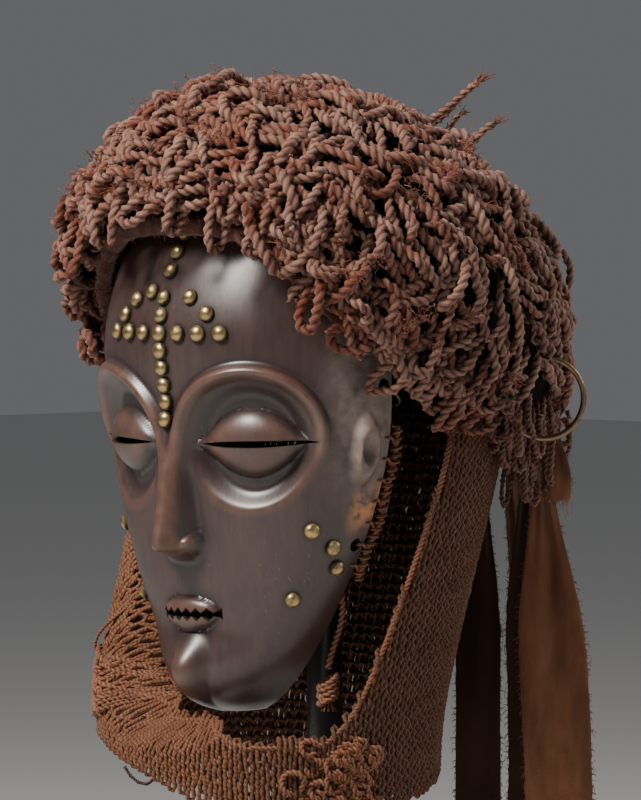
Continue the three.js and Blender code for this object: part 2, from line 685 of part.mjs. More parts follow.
// Hangs a ring, made about +Z, from the hole in the wood above the left ear
function placeEarRing(geometry) {
  const hole = rimHole(EAR_RING_HOLE, 1);
  const drop = radians(42);
  const radius = (EAR_RING_DIAMETER - EAR_RING_WIRE) / 2;
  return geometry.rotateX(-drop)
    .translate(hole.x, hole.y + radius * Math.cos(drop), hole.z - radius * Math.sin(drop));
}

// Room for the ear ring beside the net
function earRingSpace() {
  const radius = EAR_RING_DIAMETER / 2 + 2 * CLEARANCE;
  const disc = new THREE.CylinderGeometry(radius, radius, EAR_RING_WIRE + 4 * CLEARANCE, 16);
  return placeEarRing(disc.rotateX(Math.PI / 2));
}

// A point just behind the flat back edge of the wooden rim
function behindRim(share, gap) {
  const x = halfWidth(share) * FACE_HEIGHT - FACE_RIM_WALL / 2;
  const y = -rimReach(share) * FACE_HEIGHT + gap;
  return leanFace(new THREE.Vector3(x, y, FACE_BOTTOM + share * FACE_HEIGHT));
}

function rimLacing() {
  const gap = LACING_DIAMETER / 2 + 8 * CLEARANCE;
  const points = [0.54, 0.48, 0.42, 0.36, 0.3, 0.25].map((share, i) => (
    behindRim(share, gap + (i % 2) * LACING_SWING).add(new THREE.Vector3(LACING_OUT, 0, 0))
  ));
  return evenTube(points, LACING_DIAMETER, 18, 6);
}

const cordStart = behindRim(0.22, FREE_CORD_DIAMETER);
const cordRoute = [[0, 0, 0], [-0.4, 0.8, -6], [-1.2, 0.6, -13], [-2.8, -0.6, -20], [-4.6, -2, -27], [-5.6, -3, -33]]
  .map(([x, y, z]) => cordStart.clone().add(new THREE.Vector3(x, y, z)));

function freeCord() {
  return evenTube(cordRoute, FREE_CORD_DIAMETER, 12, 8);
}

function cordKnot() {
  const top = cordRoute.at(-1).clone().addScaledVector(UP, -CLEARANCE);
  const profile = [[0, 0], [0.24, 0.02], [0.46, 0.2], [0.34, 0.42], [0.5, 0.68], [0.36, 0.92], [0, 1]];
  const points = profile.map(([x, y]) => new THREE.Vector2(x * KNOT_WIDTH, -y * KNOT_LENGTH)).reverse();
  return stripped(new THREE.LatheGeometry(points, 8).rotateX(Math.PI / 2).translate(...top.toArray()));
}

// Cloth strips that hang from under the coiffure at the back

const STRIPS = [
  { name: "strip_wide", turn: 138, reach: 0.2, width: 1, length: 1, facing: 38, flare: 1.15, drift: 0.33 },
  { name: "strip_frayed", turn: 155, reach: 0.2, width: 0.89, length: 0.95, facing: 50, flare: 1.1, drift: 0.11 },
  { name: "strip_narrow", turn: 167, reach: 0.16, width: 0.39, length: 0.54, facing: 60, flare: 0.9, drift: 0.15 },
  { name: "strip_dark", turn: 179, reach: 0.2, width: 0.7, length: 0.975, facing: 40, flare: 1.1, drift: 0 },
  { name: "strip_flap", turn: 131, reach: 0.1, width: 0.52, length: 0.185, facing: 44, flare: 0.7, drift: 0.3 },
];

function strip({ turn, reach, width, length, facing, flare, drift }) {
  const head = coiffurePoint(turn, 0, reach);
  head.z += CLOTH_TUCK;
  const steps = 9;
  const across = new THREE.Vector3(Math.cos(radians(facing)), Math.sin(radians(facing)), 0);
  const through = new THREE.Vector3(-across.y, across.x, 0);
  const band = skin(Array.from({ length: steps + 1 }, (_, step) => {
    const t = step / steps;
    const sway = 2.5 * Math.sin(2.2 * Math.PI * t);
    const half = (CLOTH_WIDTH / 2) * width * lerp(0.3, flare, smoothstep(t, 0.1, 0.5));
    const middle = new THREE.Vector3(head.x, head.y, head.z - t * length * CLOTH_LENGTH)
      .addScaledVector(through, sway).addScaledVector(across, drift * CLOTH_WIDTH * smoothstep(t, 0, 0.8));
    return [[-1, -1], [1, -1], [1, 1], [-1, 1]].map(([a, b]) => (
      middle.clone().addScaledVector(across, a * half).addScaledVector(through, (b * CLOTH_THICKNESS) / 2)
    ));
  }));
  return trimBelowCoiffure(band);
}

// Stand

// A padded dome that fills the crown of the cap and stands on the post
function support() {
  const rings = LINING_CLIMBS.slice(2).map((climb) => Array.from({ length: COIFFURE_AROUND }, (_, side) => {
    const turn = (360 * side) / COIFFURE_AROUND;
    const lining = coiffurePoint(turn, climb, 1).sub(COIFFURE_CENTRE);
    return COIFFURE_CENTRE.clone().add(lining.setLength(lining.length() - 1.5 * CLEARANCE));
  }));
  const floor = rings[0].map((point) => new THREE.Vector3(0.6 * point.x, 0.6 * point.y, supportFloor));
  return cut(skin([floor, ...rings], false, COIFFURE_CENTRE), [bore(supportFloor - 1, POST_SEAT_DEPTH + 1)]);
}

const supportFloor = coiffurePoint(180, LINING_CLIMBS[2], 1).z - SUPPORT_DROP;

// A round hole that takes the post, standing on the axis
function bore(bottom, depth) {
  const radius = POST_DIAMETER / 2 + CLEARANCE;
  return new THREE.CylinderGeometry(radius, radius, depth, POST_SIDES).rotateX(Math.PI / 2)
    .translate(0, 0, bottom + depth / 2);
}

const postBottom = FOOT_THICKNESS - POST_SEAT_DEPTH + CLEARANCE;
const postTop = supportFloor + POST_SEAT_DEPTH - CLEARANCE;

function post() {
  const height = postTop - postBottom;
  return new THREE.CylinderGeometry(POST_DIAMETER / 2, POST_DIAMETER / 2, height, POST_SIDES)
    .rotateX(Math.PI / 2).translate(0, 0, (postTop + postBottom) / 2);
}

function foot() {
  const half = FOOT_WIDTH / 2;
  const square = (inset, height) => {
    const edge = half - inset;
    const corner = edge - FOOT_CORNER;
    return [[edge, -corner], [edge, corner], [corner, edge], [-corner, edge], [-edge, corner], [-edge, -corner],
      [-corner, -edge], [corner, -edge]].map(([x, y]) => new THREE.Vector3(x, y, height));
  };
  const plate = skin([square(0, 0), square(0, FOOT_THICKNESS - 2), square(2, FOOT_THICKNESS)]);
  return cut(plate, [bore(FOOT_THICKNESS - POST_SEAT_DEPTH, POST_SEAT_DEPTH + 1)]);
}

// Assembly

const finish = (color, roughness, metalness = 0) => new THREE.MeshStandardMaterial({ color, roughness, metalness });
const wood = finish("#3a2724", 0.38);
const brass = finish("#a88a48", 0.4, 0.9);
const bronze = finish("#7a6238", 0.45, 0.85);
const cordFibre = finish("#6e4a3c", 0.95);
const netFibre = finish("#7a4a2e", 0.95);
const darkWire = finish("#3c3a38", 0.5, 0.8);
const cloth = finish("#6b3d22", 0.95);
const darkMetal = finish("#1b1a1a", 0.35, 0.6);
const felt = finish("#2e2b29", 0.95);

const mask = new THREE.Group();

function add(name, geometry, material) {
  const mesh = new THREE.Mesh(geometry, material);
  mesh.name = name;
  mask.add(mesh);
  return mesh;
}

add("foot", foot(), darkMetal);
add("post", post(), darkMetal);
add("head_support", support(), felt);
add("wooden_face", woodenFace(), wood);
add("coiffure", coiffure(), cordFibre);
add("net_collar", net(), netFibre);
add("hair_ring", placeHairRing(torusGeometry(HAIR_RING_DIAMETER, HAIR_RING_WIRE, 20, 6)), bronze);
add("ear_ring", placeEarRing(torusGeometry(EAR_RING_DIAMETER, EAR_RING_WIRE, 16, 5)), darkWire);
add("rim_lacing", rimLacing(), netFibre);
add("free_cord", freeCord(), netFibre);
add("cord_knot", cordKnot(), netFibre);
for (const piece of STRIPS) add(piece.name, strip(piece), cloth);

for (const [name, x, z] of tackSpots()) {
  const spot = faceSpot(x, z);
  const tack = add(name, tackGeometry(), brass);
  tack.position.copy(spot.middle).addScaledVector(spot.out, spot.lift + TACK_GAP);
  tack.quaternion.setFromUnitVectors(new THREE.Vector3(0, 1, 0), spot.out);
}

export default mask;
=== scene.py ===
"""A carved wooden dance mask with a corded coiffure, a looped net collar and cloth strips, on its stand.

Lengths in the functions are in millimetres, as a maker would give them; meshes are stored in metres.
The mask looks along -Y and its own left side is at +X.
"""
import math

import bpy
import numpy as np
from bpy.props import FloatProperty, FloatVectorProperty, IntProperty, PointerProperty
from mathutils import Matrix, Vector


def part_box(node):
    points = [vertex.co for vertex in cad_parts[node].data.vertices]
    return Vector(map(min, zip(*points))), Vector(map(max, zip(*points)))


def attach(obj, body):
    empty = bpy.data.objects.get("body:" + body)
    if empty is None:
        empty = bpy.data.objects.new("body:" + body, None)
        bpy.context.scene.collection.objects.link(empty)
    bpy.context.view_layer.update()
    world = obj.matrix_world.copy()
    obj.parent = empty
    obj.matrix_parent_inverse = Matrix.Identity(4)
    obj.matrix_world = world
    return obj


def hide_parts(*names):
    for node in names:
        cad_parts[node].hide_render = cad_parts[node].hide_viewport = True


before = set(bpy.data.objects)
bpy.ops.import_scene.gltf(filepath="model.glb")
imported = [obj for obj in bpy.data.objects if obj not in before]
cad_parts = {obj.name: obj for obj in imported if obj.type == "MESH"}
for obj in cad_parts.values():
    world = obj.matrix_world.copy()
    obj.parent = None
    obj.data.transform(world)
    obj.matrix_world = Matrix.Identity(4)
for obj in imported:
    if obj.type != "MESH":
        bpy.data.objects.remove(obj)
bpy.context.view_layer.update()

bl_info = {
    "name": "Carved dance mask",
    "version": (1, 0, 0),
    "blender": (4, 5, 0),
    "location": "3D View > Sidebar > Mask",
    "description": "Dresses the solids of a carved dance mask with wood, cord, net, cloth and brass",
    "category": "Add Mesh",
}

MM = 0.001
TAU = 2 * math.pi
UP = np.array([0, 0, 1.0])


# Sizes and colours that a user would change

class FaceSettings(bpy.types.PropertyGroup):
    height: FloatProperty(name="Face height",
                          description="Chin to top of the carved face, mm", default=236)
    bottom: FloatProperty(name="Chin level",
                          description="Height of the chin above the foot, mm", default=168)
    lean: FloatProperty(name="Lean", description="How far the face leans forward, degrees", default=4)
    rows: IntProperty(name="Rows", description="Rows of the carved skin", default=225)
    columns: IntProperty(name="Columns", description="Columns of the carved skin", default=195)
    wood: FloatVectorProperty(name="Wood", description="Colour of the polished wood", subtype="COLOR",
                              default=(0.047, 0.026, 0.025))
    bare: FloatVectorProperty(name="Worn wood",
                              description="Colour of the wood on worn ridges", subtype="COLOR",
                              default=(0.17, 0.085, 0.055))
    dust: FloatVectorProperty(name="Dust",
                              description="Colour of the dust near the rim", subtype="COLOR",
                              default=(0.26, 0.20, 0.17))


class CoiffureSettings(bpy.types.PropertyGroup):
    height: FloatProperty(name="Middle height",
                          description="Height of the coiffure's middle, mm", default=352)
    forward: FloatProperty(name="Forward",
                           description="How far the middle lies before the post, mm", default=6)
    half_width: FloatProperty(name="Half width",
                              description="From the middle to a side, mm", default=115)
    half_length: FloatProperty(name="Half length",
                               description="From the middle to the back, mm", default=129)
    half_height: FloatProperty(name="Half height",
                               description="From the middle to the crown, mm", default=93)
    lean: FloatProperty(name="Lean", description="How far the coiffure tips back, degrees", default=27.7)
    cord: FloatProperty(name="Cord", description="Thickness of the twisted cord, mm", default=5.4)
    lay: FloatProperty(name="Lay",
                       description="Length of one full turn of the two plies, mm", default=9.2)
    spacing: FloatProperty(name="Spacing",
                           description="Distance between the roots of two loops, mm", default=12.6)
    reach: FloatProperty(name="Loop length",
                         description="Length of a loop from root to bend, mm", default=23)
    tan: FloatVectorProperty(name="Tan fibre",
                             description="Colour of the handled fibre", subtype="COLOR",
                             default=(0.30, 0.165, 0.12))
    ochre: FloatVectorProperty(name="Red ochre", description="Colour of the ochre dust in the loops",
                               subtype="COLOR", default=(0.19, 0.042, 0.02))


class NetSettings(bpy.types.PropertyGroup):
    yarn: FloatProperty(name="Yarn", description="Thickness of the net's yarn, mm", default=2.25)
    wale: FloatProperty(name="Stitch width", description="Width of one stitch, mm", default=5.4)
    row: FloatProperty(name="Stitch height",
                       description="Height of one row of stitches, mm", default=4.6)
    colour: FloatVectorProperty(name="Net fibre",
                                description="Colour of the rust-brown yarn", subtype="COLOR",
                                default=(0.25, 0.098, 0.044))


class TrimSettings(bpy.types.PropertyGroup):
    cloth: FloatVectorProperty(name="Cloth", description="Colour of the cloth strips", subtype="COLOR",
                               default=(0.20, 0.085, 0.042))
    brass: FloatVectorProperty(name="Brass", description="Colour of the dome tacks", subtype="COLOR",
                               default=(0.44, 0.32, 0.15))
    bronze: FloatVectorProperty(name="Bronze", description="Colour of the hanging ring", subtype="COLOR",
                                default=(0.22, 0.15, 0.09))
    cloth_thickness: FloatProperty(name="Cloth thickness",
                                   description="Thickness of the cloth, mm", default=0.9)


class StageSettings(bpy.types.PropertyGroup):
    azimuth: FloatProperty(name="Azimuth",
                           description="Turn of the camera round the mask, degrees", default=44)
    elevation: FloatProperty(name="Elevation",
                             description="Height angle of the camera, degrees", default=2)
    distance: FloatProperty(name="Distance", description="From the camera to the mask", default=3.5,
                            unit="LENGTH")
    lens: FloatProperty(name="Lens", description="Focal length, mm", default=346.5)
    floor: FloatVectorProperty(name="Floor", description="Colour of the floor", subtype="COLOR",
                               default=(0.72, 0.71, 0.69))


# Curves and small maths

def ease(x, low, high):
    """A smooth step from 0 at low to 1 at high."""
    t = np.clip((np.asarray(x, float) - low) / (high - low), 0, 1)
    return t * t * (3 - 2 * t)


def curve_through(pairs):
    """A smooth curve through a few control pairs, as the solids have it."""
    xs, ys = (np.array(column, float) for column in zip(*pairs))
    count = len(xs)
    before, after = np.maximum(np.arange(count) - 1, 0), np.minimum(np.arange(count) + 1, count - 1)
    slopes = (ys[after] - ys[before]) / (xs[after] - xs[before])

    def value(x):
        inside = np.clip(np.asarray(x, float), xs[0], xs[-1])
        i = np.clip(np.searchsorted(xs, inside, side="left") - 1, 0, count - 2)
        width = xs[i + 1] - xs[i]
        t = (inside - xs[i]) / width
        rise = slopes[i] * width * t * (1 - t) ** 2 + slopes[i + 1] * width * t * t * (t - 1)
        return ys[i] + (ys[i + 1] - ys[i]) * t * t * (3 - 2 * t) + rise
    return value


def swell(x):
    """A smooth swelling of 1 at zero that ends at -1 and 1."""
    return np.where(np.abs(x) < 1, (1 - x * x) ** 2, 0.0)


def unit(vectors):
    """Vectors brought to a length of one."""
    return vectors / np.maximum(np.linalg.norm(vectors, axis=-1, keepdims=True), 1e-12)


def mixed(a, b, t):
    """A value the share t of the way from a to b."""
    return a + (b - a) * t


def swung(angle, a, b):
    """Directions that turn from a towards b by an angle."""
    return np.cos(angle)[..., None] * a + np.sin(angle)[..., None] * b


def run_along(points):
    """The length along rows of points, from zero at the first of each row."""
    steps = np.linalg.norm(np.diff(points, axis=-2), axis=-1)
    return np.concatenate([np.zeros((*steps.shape[:-1], 1)), np.cumsum(steps, axis=-1)], axis=-1)


# Meshes

def select_only(piece):
    """Makes one piece the only selected and the active object."""
    bpy.ops.object.select_all(action="DESELECT")
    piece.select_set(True)
    bpy.context.view_layer.objects.active = piece


def new_piece(name, points, faces, uv=None, values=None):
    """A smooth mesh object from points in mm, blocks of faces of one size each, loop UVs and point values."""
    mesh = bpy.data.meshes.new(name)
    corners = np.concatenate([block.reshape(-1) for block in faces])
    sizes = np.concatenate([np.full(len(block), block.shape[1]) for block in faces])
    starts = np.concatenate([[0], np.cumsum(sizes)[:-1]])
    mesh.vertices.add(len(points))
    mesh.vertices.foreach_set("co", (np.asarray(points, float) * MM).astype(np.float32).reshape(-1))
    mesh.loops.add(len(corners))
    mesh.loops.foreach_set("vertex_index", corners.astype(np.int32))
    mesh.polygons.add(len(sizes))
    mesh.polygons.foreach_set("loop_start", starts.astype(np.int32))
    mesh.polygons.foreach_set("use_smooth", np.full(len(sizes), True))
    mesh.update(calc_edges=True)
    if uv is not None:
        layer = mesh.uv_layers.new(name="UVMap")
        layer.data.foreach_set("uv", np.asarray(uv, np.float32).reshape(-1))
    for key, value in (values or {}).items():
        attribute = mesh.attributes.new(key, "FLOAT", "POINT")
        attribute.data.foreach_set("value", np.asarray(value, np.float32).reshape(-1))
    mesh.validate()
    piece = bpy.data.objects.new(name, mesh)
    bpy.context.scene.collection.objects.link(piece)
    return piece


def finish_piece(piece, finish, node):
    """Gives a piece its material, hides the solid that it stands for and puts it under the root body."""
    piece.data.materials.clear()
    piece.data.materials.append(finish_of(finish))
    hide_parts(node)
    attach(piece, "root")
    return piece


def ring_skin(rings):
    """Points and faces of a closed skin through rings of points, shape (rows, around, 3)."""
    rows, around = rings.shape[:2]
    index = np.arange(rows * around).reshape(rows, around)
    a, b = index[:-1], np.roll(index, -1, axis=1)[:-1]
    c, d = np.roll(index, -1, axis=1)[1:], index[1:]
    quads = np.stack([a, b, c, d], axis=-1).reshape(-1, 4)
    caps = np.stack([index[0][::-1], index[-1]])
    return rings.reshape(-1, 3), [quads, caps]


def outward(piece):
    """Turns the faces of a closed piece outwards."""
    select_only(piece)
    bpy.ops.object.mode_set(mode="EDIT")
    bpy.ops.mesh.select_all(action="SELECT")
    bpy.ops.mesh.normals_make_consistent(inside=False)
    bpy.ops.object.mode_set(mode="OBJECT")


def apply_modifier(piece, kind, **settings):
    """Adds a modifier to a piece and applies it at once."""
    modifier = piece.modifiers.new(kind.lower(), kind)
    for key, value in settings.items():
        setattr(modifier, key, value)
    select_only(piece)
    bpy.ops.object.modifier_apply(modifier=modifier.name)


# Cords

def through(points, steps):
    """Even samples of a smooth curve through control points, shape (cords, points, 3)."""
    points = np.asarray(points, float)
    before, after = 2 * points[:, :1] - points[:, 1:2], 2 * points[:, -1:] - points[:, -2:-1]
    ends = np.concatenate([before, points, after], axis=1)
    pieces = points.shape[1] - 1
    fine = np.linspace(0, pieces, pieces * 12 + 1)
    i = np.minimum(fine.astype(int), pieces - 1)
    t = (fine - i)[None, :, None]
    p0, p1, p2, p3 = (ends[:, i + k] for k in range(4))
    dense = 0.5 * (2 * p1 + (p2 - p0) * t + (2 * p0 - 5 * p1 + 4 * p2 - p3) * t ** 2
                   + (3 * p1 - p0 - 3 * p2 + p3) * t ** 3)
    lengths = run_along(dense)
    even = np.empty((len(dense), steps + 1, 3))
    for n, (route, run) in enumerate(zip(dense, lengths)):
        marks = np.linspace(0, run[-1], steps + 1)
        for axis in range(3):
            even[n, :, axis] = np.interp(marks, run, route[:, axis])
    return even, lengths[:, -1]


def carried_frames(middles):
    """Two directions across each cord that do not twist along it."""
    ahead = unit(np.gradient(middles, axis=1))
    start = np.where(np.abs(ahead[:, :1, 2:3]) < 0.8, [[[0.0, 0.0, 1.0]]], [[[1.0, 0.0, 0.0]]])
    across = np.empty_like(middles)
    side = unit(np.cross(ahead[:, 0], start[:, 0]))
    across[:, 0] = side
    for step in range(1, middles.shape[1]):
        side = unit(side - ahead[:, step] * np.sum(side * ahead[:, step], axis=1, keepdims=True))
        across[:, step] = side
    return across, np.cross(ahead, across)


TWO_PLY = np.array([1.0, 0.66, 0.66, 1.0, 0.66, 0.66])
ROUND_YARN, HAIR = np.ones(4), np.ones(3)
UV_STEP = 10.0


def tube_mesh(middles, runs, angle, radius, values):
    """Points, faces, UVs and point values of closed tubes round rows of middles.

    The runs are the lengths along each row, and the angle has one entry for each side of the tube.
    A value is one number for all tubes, one for each tube, or one for each of their middles.
    """
    across, over = carried_frames(middles)
    count, stations, sides = *middles.shape[:2], angle.shape[-1]
    points = middles[:, :, None] + radius[..., None] * swung(angle, across[:, :, None], over[:, :, None])
    index = np.arange(count * stations * sides).reshape(count, stations, sides)
    turned = np.roll(index, -1, axis=2)
    quads = np.stack([index[:, :-1], turned[:, :-1], turned[:, 1:], index[:, 1:]], axis=-1).reshape(-1, 4)
    caps = np.concatenate([index[:, 0, ::-1], index[:, -1]])
    low = np.arange(sides) / sides
    high = low + 1 / sides
    along = runs / UV_STEP
    u = np.stack([low, high, high, low], axis=-1)[None, None]
    v = np.stack([along[:, :-1], along[:, :-1], along[:, 1:], along[:, 1:]], axis=-1)[:, :, None]
    shape = (count, stations - 1, sides, 4)
    uv = np.stack([np.broadcast_to(u, shape), np.broadcast_to(v, shape)], axis=-1).reshape(-1, 2)
    point_values = {}
    for key, value in values.items():
        value = np.asarray(value, float)
        value = value[:, None, None] if value.ndim == 1 else value[..., None]
        point_values[key] = np.broadcast_to(value, index.shape).reshape(-1)
    return points.reshape(-1, 3), [quads, caps], np.concatenate([uv, np.zeros((caps.size, 2))]), point_values


def cord_mesh(routes, steps, diameter, lay, section=TWO_PLY, taper=1.0, phase=0.0, **values):
    """Cords of equal step count through control points. lay is 0 for an untwisted yarn."""
    middles, lengths = through(routes, steps)
    runs = lengths[:, None] * np.linspace(0, 1, steps + 1)[None, :]
    turn = TAU * runs / lay if lay else np.zeros_like(runs)
    turn = turn + np.asarray(phase, float).reshape(-1, 1)
    angle = turn[:, :, None] + TAU * np.arange(len(section)) / len(section)
    radius = 0.5 * np.asarray(diameter, float).reshape(-1, 1, 1) * section
    radius = radius * np.broadcast_to(taper, steps + 1)[None, :, None]
    return tube_mesh(middles, runs, angle, radius, values)


def yarn_mesh(middles, diameter, **values):
    """One plain yarn whose sections stand at the given points."""
    sides = len(ROUND_YARN)
    angle = TAU * (np.arange(sides) + 0.5) / sides
    middles, radius = middles[None], np.full((1, 1, 1), 0.5 * diameter)
    return tube_mesh(middles, run_along(middles), angle[None, None], radius, values)


def gather(parts):
    """Joins several (points, faces, uv, values) blocks into one."""
    points, blocks, quads_uv, values = [], {}, {}, {}
    base = 0
    for block_points, faces, uv, block_values in parts:
        used = 0
        for block in faces:
            size = block.shape[1]
            blocks.setdefault(size, []).append(block + base)
            quads_uv.setdefault(size, []).append(uv[used:used + block.size])
            used += block.size
        for key, value in block_values.items():
            values.setdefault(key, []).append(value)
        points.append(block_points)
        base += len(block_points)
    sizes = sorted(blocks)
    faces = [np.concatenate(blocks[size]) for size in sizes]
    uv = np.concatenate([np.concatenate(quads_uv[size]) for size in sizes])
    return np.concatenate(points), faces, uv, {key: np.concatenate(value) for key, value in values.items()}


# Materials

class Nodes:
    """Adds nodes to a tree and links them in one line each."""

    def __init__(self, tree):
        self.tree = tree
        self.count = 0

    def add(self, kind, inputs=None, **settings):
        node = self.tree.nodes.new(kind)
        node.location = (220 * (self.count % 6), -260 * (self.count // 6))
        self.count += 1
        for key, value in settings.items():
            setattr(node, key, value)
        for key, value in (inputs or {}).items():
            self.feed(node, key, value)
        return node

    def feed(self, node, key, value):
        if isinstance(value, bpy.types.NodeSocket):
            self.tree.links.new(value, node.inputs[key])
        else:
            node.inputs[key].default_value = value

    def maths(self, operation, a, b=0.0, clamp=False):
        return self.add("ShaderNodeMath", {0: a, 1: b}, operation=operation, use_clamp=clamp).outputs[0]

    def times(self, a, b, clamp=False):
        return self.maths("MULTIPLY", a, b, clamp)

    def plus(self, a, b, clamp=False):
        return self.maths("ADD", a, b, clamp)

    def noise(self, vector, scale, detail, roughness):
        node = self.add("ShaderNodeTexNoise", {"Vector": vector, "Scale": scale, "Detail": detail,
                                               "Roughness": roughness})
        return node.outputs["Fac"]

    def mix(self, factor, a, b, blend="MIX"):
        node = self.add("ShaderNodeMix", data_type="RGBA", blend_type=blend)
        for socket, value in (("Factor", factor), ("A", a), ("B", b)):
            kind = "VALUE" if socket == "Factor" else "RGBA"
            target = next(s for s in node.inputs if (s.name, s.type) == (socket, kind))
            if isinstance(value, bpy.types.NodeSocket):
                self.tree.links.new(value, target)
            else:
                target.default_value = value if kind == "VALUE" else (*value, 1.0)
        return next(s for s in node.outputs if s.type == "RGBA")

    def spread(self, value, low, high, to_low=0.0, to_high=1.0):
        node = self.add("ShaderNodeMapRange", {"Value": value, "From Min": low, "From Max": high,
                                               "To Min": to_low, "To Max": to_high})
        return node.outputs["Result"]

    def attribute(self, name):
        return self.add("ShaderNodeAttribute", attribute_name=name).outputs["Fac"]

    def place(self):
        return self.add("ShaderNodeTexCoord").outputs["Object"]

    def uv(self):
        return self.add("ShaderNodeUVMap", uv_map="UVMap").outputs["UV"]

    def map(self, vector, scale):
        return self.add("ShaderNodeMapping", {"Scale": scale, "Vector": vector}).outputs["Vector"]

    def bump(self, height, strength, distance):
        node = self.add("ShaderNodeBump", {"Strength": strength, "Distance": distance, "Height": height})
        return node.outputs["Normal"]

    def use(self, group, **inputs):
        node = self.add("ShaderNodeGroup", node_tree=group)
        for key, value in inputs.items():
            self.feed(node, key, value)
        return node.outputs

    def mottle(self, scale, contrast):
        return self.use(group("mottle"), Scale=scale, Contrast=contrast)["Mask"]


def node_group(name, inputs, outputs):
    """An empty group with named number sockets, and its nodes, input and output."""
    tree = bpy.data.node_groups.new(name, "ShaderNodeTree")
    for label, default in inputs.items():
        socket = tree.interface.new_socket(label, in_out="INPUT", socket_type="NodeSocketFloat")
        socket.default_value = default
    for label in outputs:
        tree.interface.new_socket(label, in_out="OUTPUT", socket_type="NodeSocketFloat")
    nodes = Nodes(tree)
    return tree, nodes, nodes.add("NodeGroupInput").outputs, nodes.add("NodeGroupOutput")


def mottle_group():
    """Soft uneven patches between 0 and 1, from the object's own place."""
    tree, nodes, given, out = node_group("Mottle", {"Scale": 30.0, "Contrast": 1.0}, ["Mask"])
    value = nodes.noise(nodes.place(), given["Scale"], 5, 0.6)
    lifted = nodes.times(nodes.maths("SUBTRACT", value, 0.5), given["Contrast"])
    nodes.feed(out, "Mask", nodes.plus(lifted, 0.5, clamp=True))
    return tree


def fibre_group():
    """Fine fibres that run along a cord, from its UV map."""
    tree, nodes, given, out = node_group("Fibres", {"Around": 22.0, "Along": 3.0}, ["Height", "Dark"])
    scale = nodes.add("ShaderNodeCombineXYZ", {"X": given["Around"], "Y": given["Along"], "Z": 1.0})
    stretched = nodes.add("ShaderNodeVectorMath", {0: nodes.uv(), 1: scale.outputs[0]}, operation="MULTIPLY")
    fine = nodes.noise(stretched.outputs[0], 1.0, 6, 0.7)
    nodes.feed(out, "Height", fine)
    nodes.feed(out, "Dark", nodes.spread(fine, 0.3, 0.62))
    return tree


def ply_groove_shade_group():
    """Painted shade in the grooves between the two plies of a cord, from its UV map."""
    tree, nodes, given, out = node_group("Ply groove shade", {"Depth": 1.0, "Twist": 0.0}, ["Groove shade"])
    split = nodes.add("ShaderNodeSeparateXYZ", {"Vector": nodes.uv()}).outputs
    turned = nodes.plus(split["X"], nodes.times(split["Y"], given["Twist"]))
    wave = nodes.maths("COSINE", nodes.times(turned, 2 * TAU))
    groove_shade = nodes.times(nodes.maths("SUBTRACT", 0.2, wave), given["Depth"], clamp=True)
    nodes.feed(out, "Groove shade", groove_shade)
    return tree


def weave_group():
    """Plain weave of warp and weft from the UV map, in threads a millimetre."""
    tree, nodes, given, out = node_group("Weave", {"Threads": 1.6}, ["Height"])
    turned = nodes.times(given["Threads"], TAU * 5)
    split = nodes.add("ShaderNodeSeparateXYZ", {"Vector": nodes.uv()}).outputs
    warp = nodes.maths("SINE", nodes.times(split["X"], turned))
    weft = nodes.maths("SINE", nodes.times(split["Y"], turned))
    nodes.feed(out, "Height", nodes.times(warp, weft))
    return tree


GROUPS = {}


def group(name):
    """A node group by its plain name, made when it is first asked for."""
    makers = {"mottle": mottle_group, "fibre": fibre_group, "ply": ply_groove_shade_group, "weave": weave_group}
    if name not in GROUPS:
        GROUPS[name] = makers[name]()
    return GROUPS[name]


def shade(amount, colour):
    """A colour made darker or paler by an amount."""
    return tuple(amount * value for value in colour)


def new_material(name, roughness=0.6, metallic=0.0, sheen=0.0, coat=0.0, specular=0.5):
    """A material with its shader, and what is the same all over set on the shader itself."""
    material = bpy.data.materials.new(name)
    material.use_nodes = True
    tree = material.node_tree
    tree.nodes.clear()
    nodes = Nodes(tree)
    shader = nodes.add("ShaderNodeBsdfPrincipled", {"Roughness": roughness, "Metallic": metallic,
                                                    "Specular IOR Level": specular})
    if sheen:
        nodes.feed(shader, "Sheen Weight", sheen)
        nodes.feed(shader, "Sheen Roughness", 0.4)
    if coat:
        nodes.feed(shader, "Coat Weight", coat)
        nodes.feed(shader, "Coat Roughness", 0.28)
    nodes.add("ShaderNodeOutputMaterial", {"Surface": shader.outputs["BSDF"]})
    return material, nodes, shader


# The first colour is painted shade for the carved hollows; the last is grime with painted contact shade round
# the tacks.
HOLLOW_PAINTED_SHADE, RAW_WOOD, GRIME_AND_SHADE_DARK = (0.012, 0.008, 0.008), (0.42, 0.17, 0.06), (0.008, 0.006, 0.006)


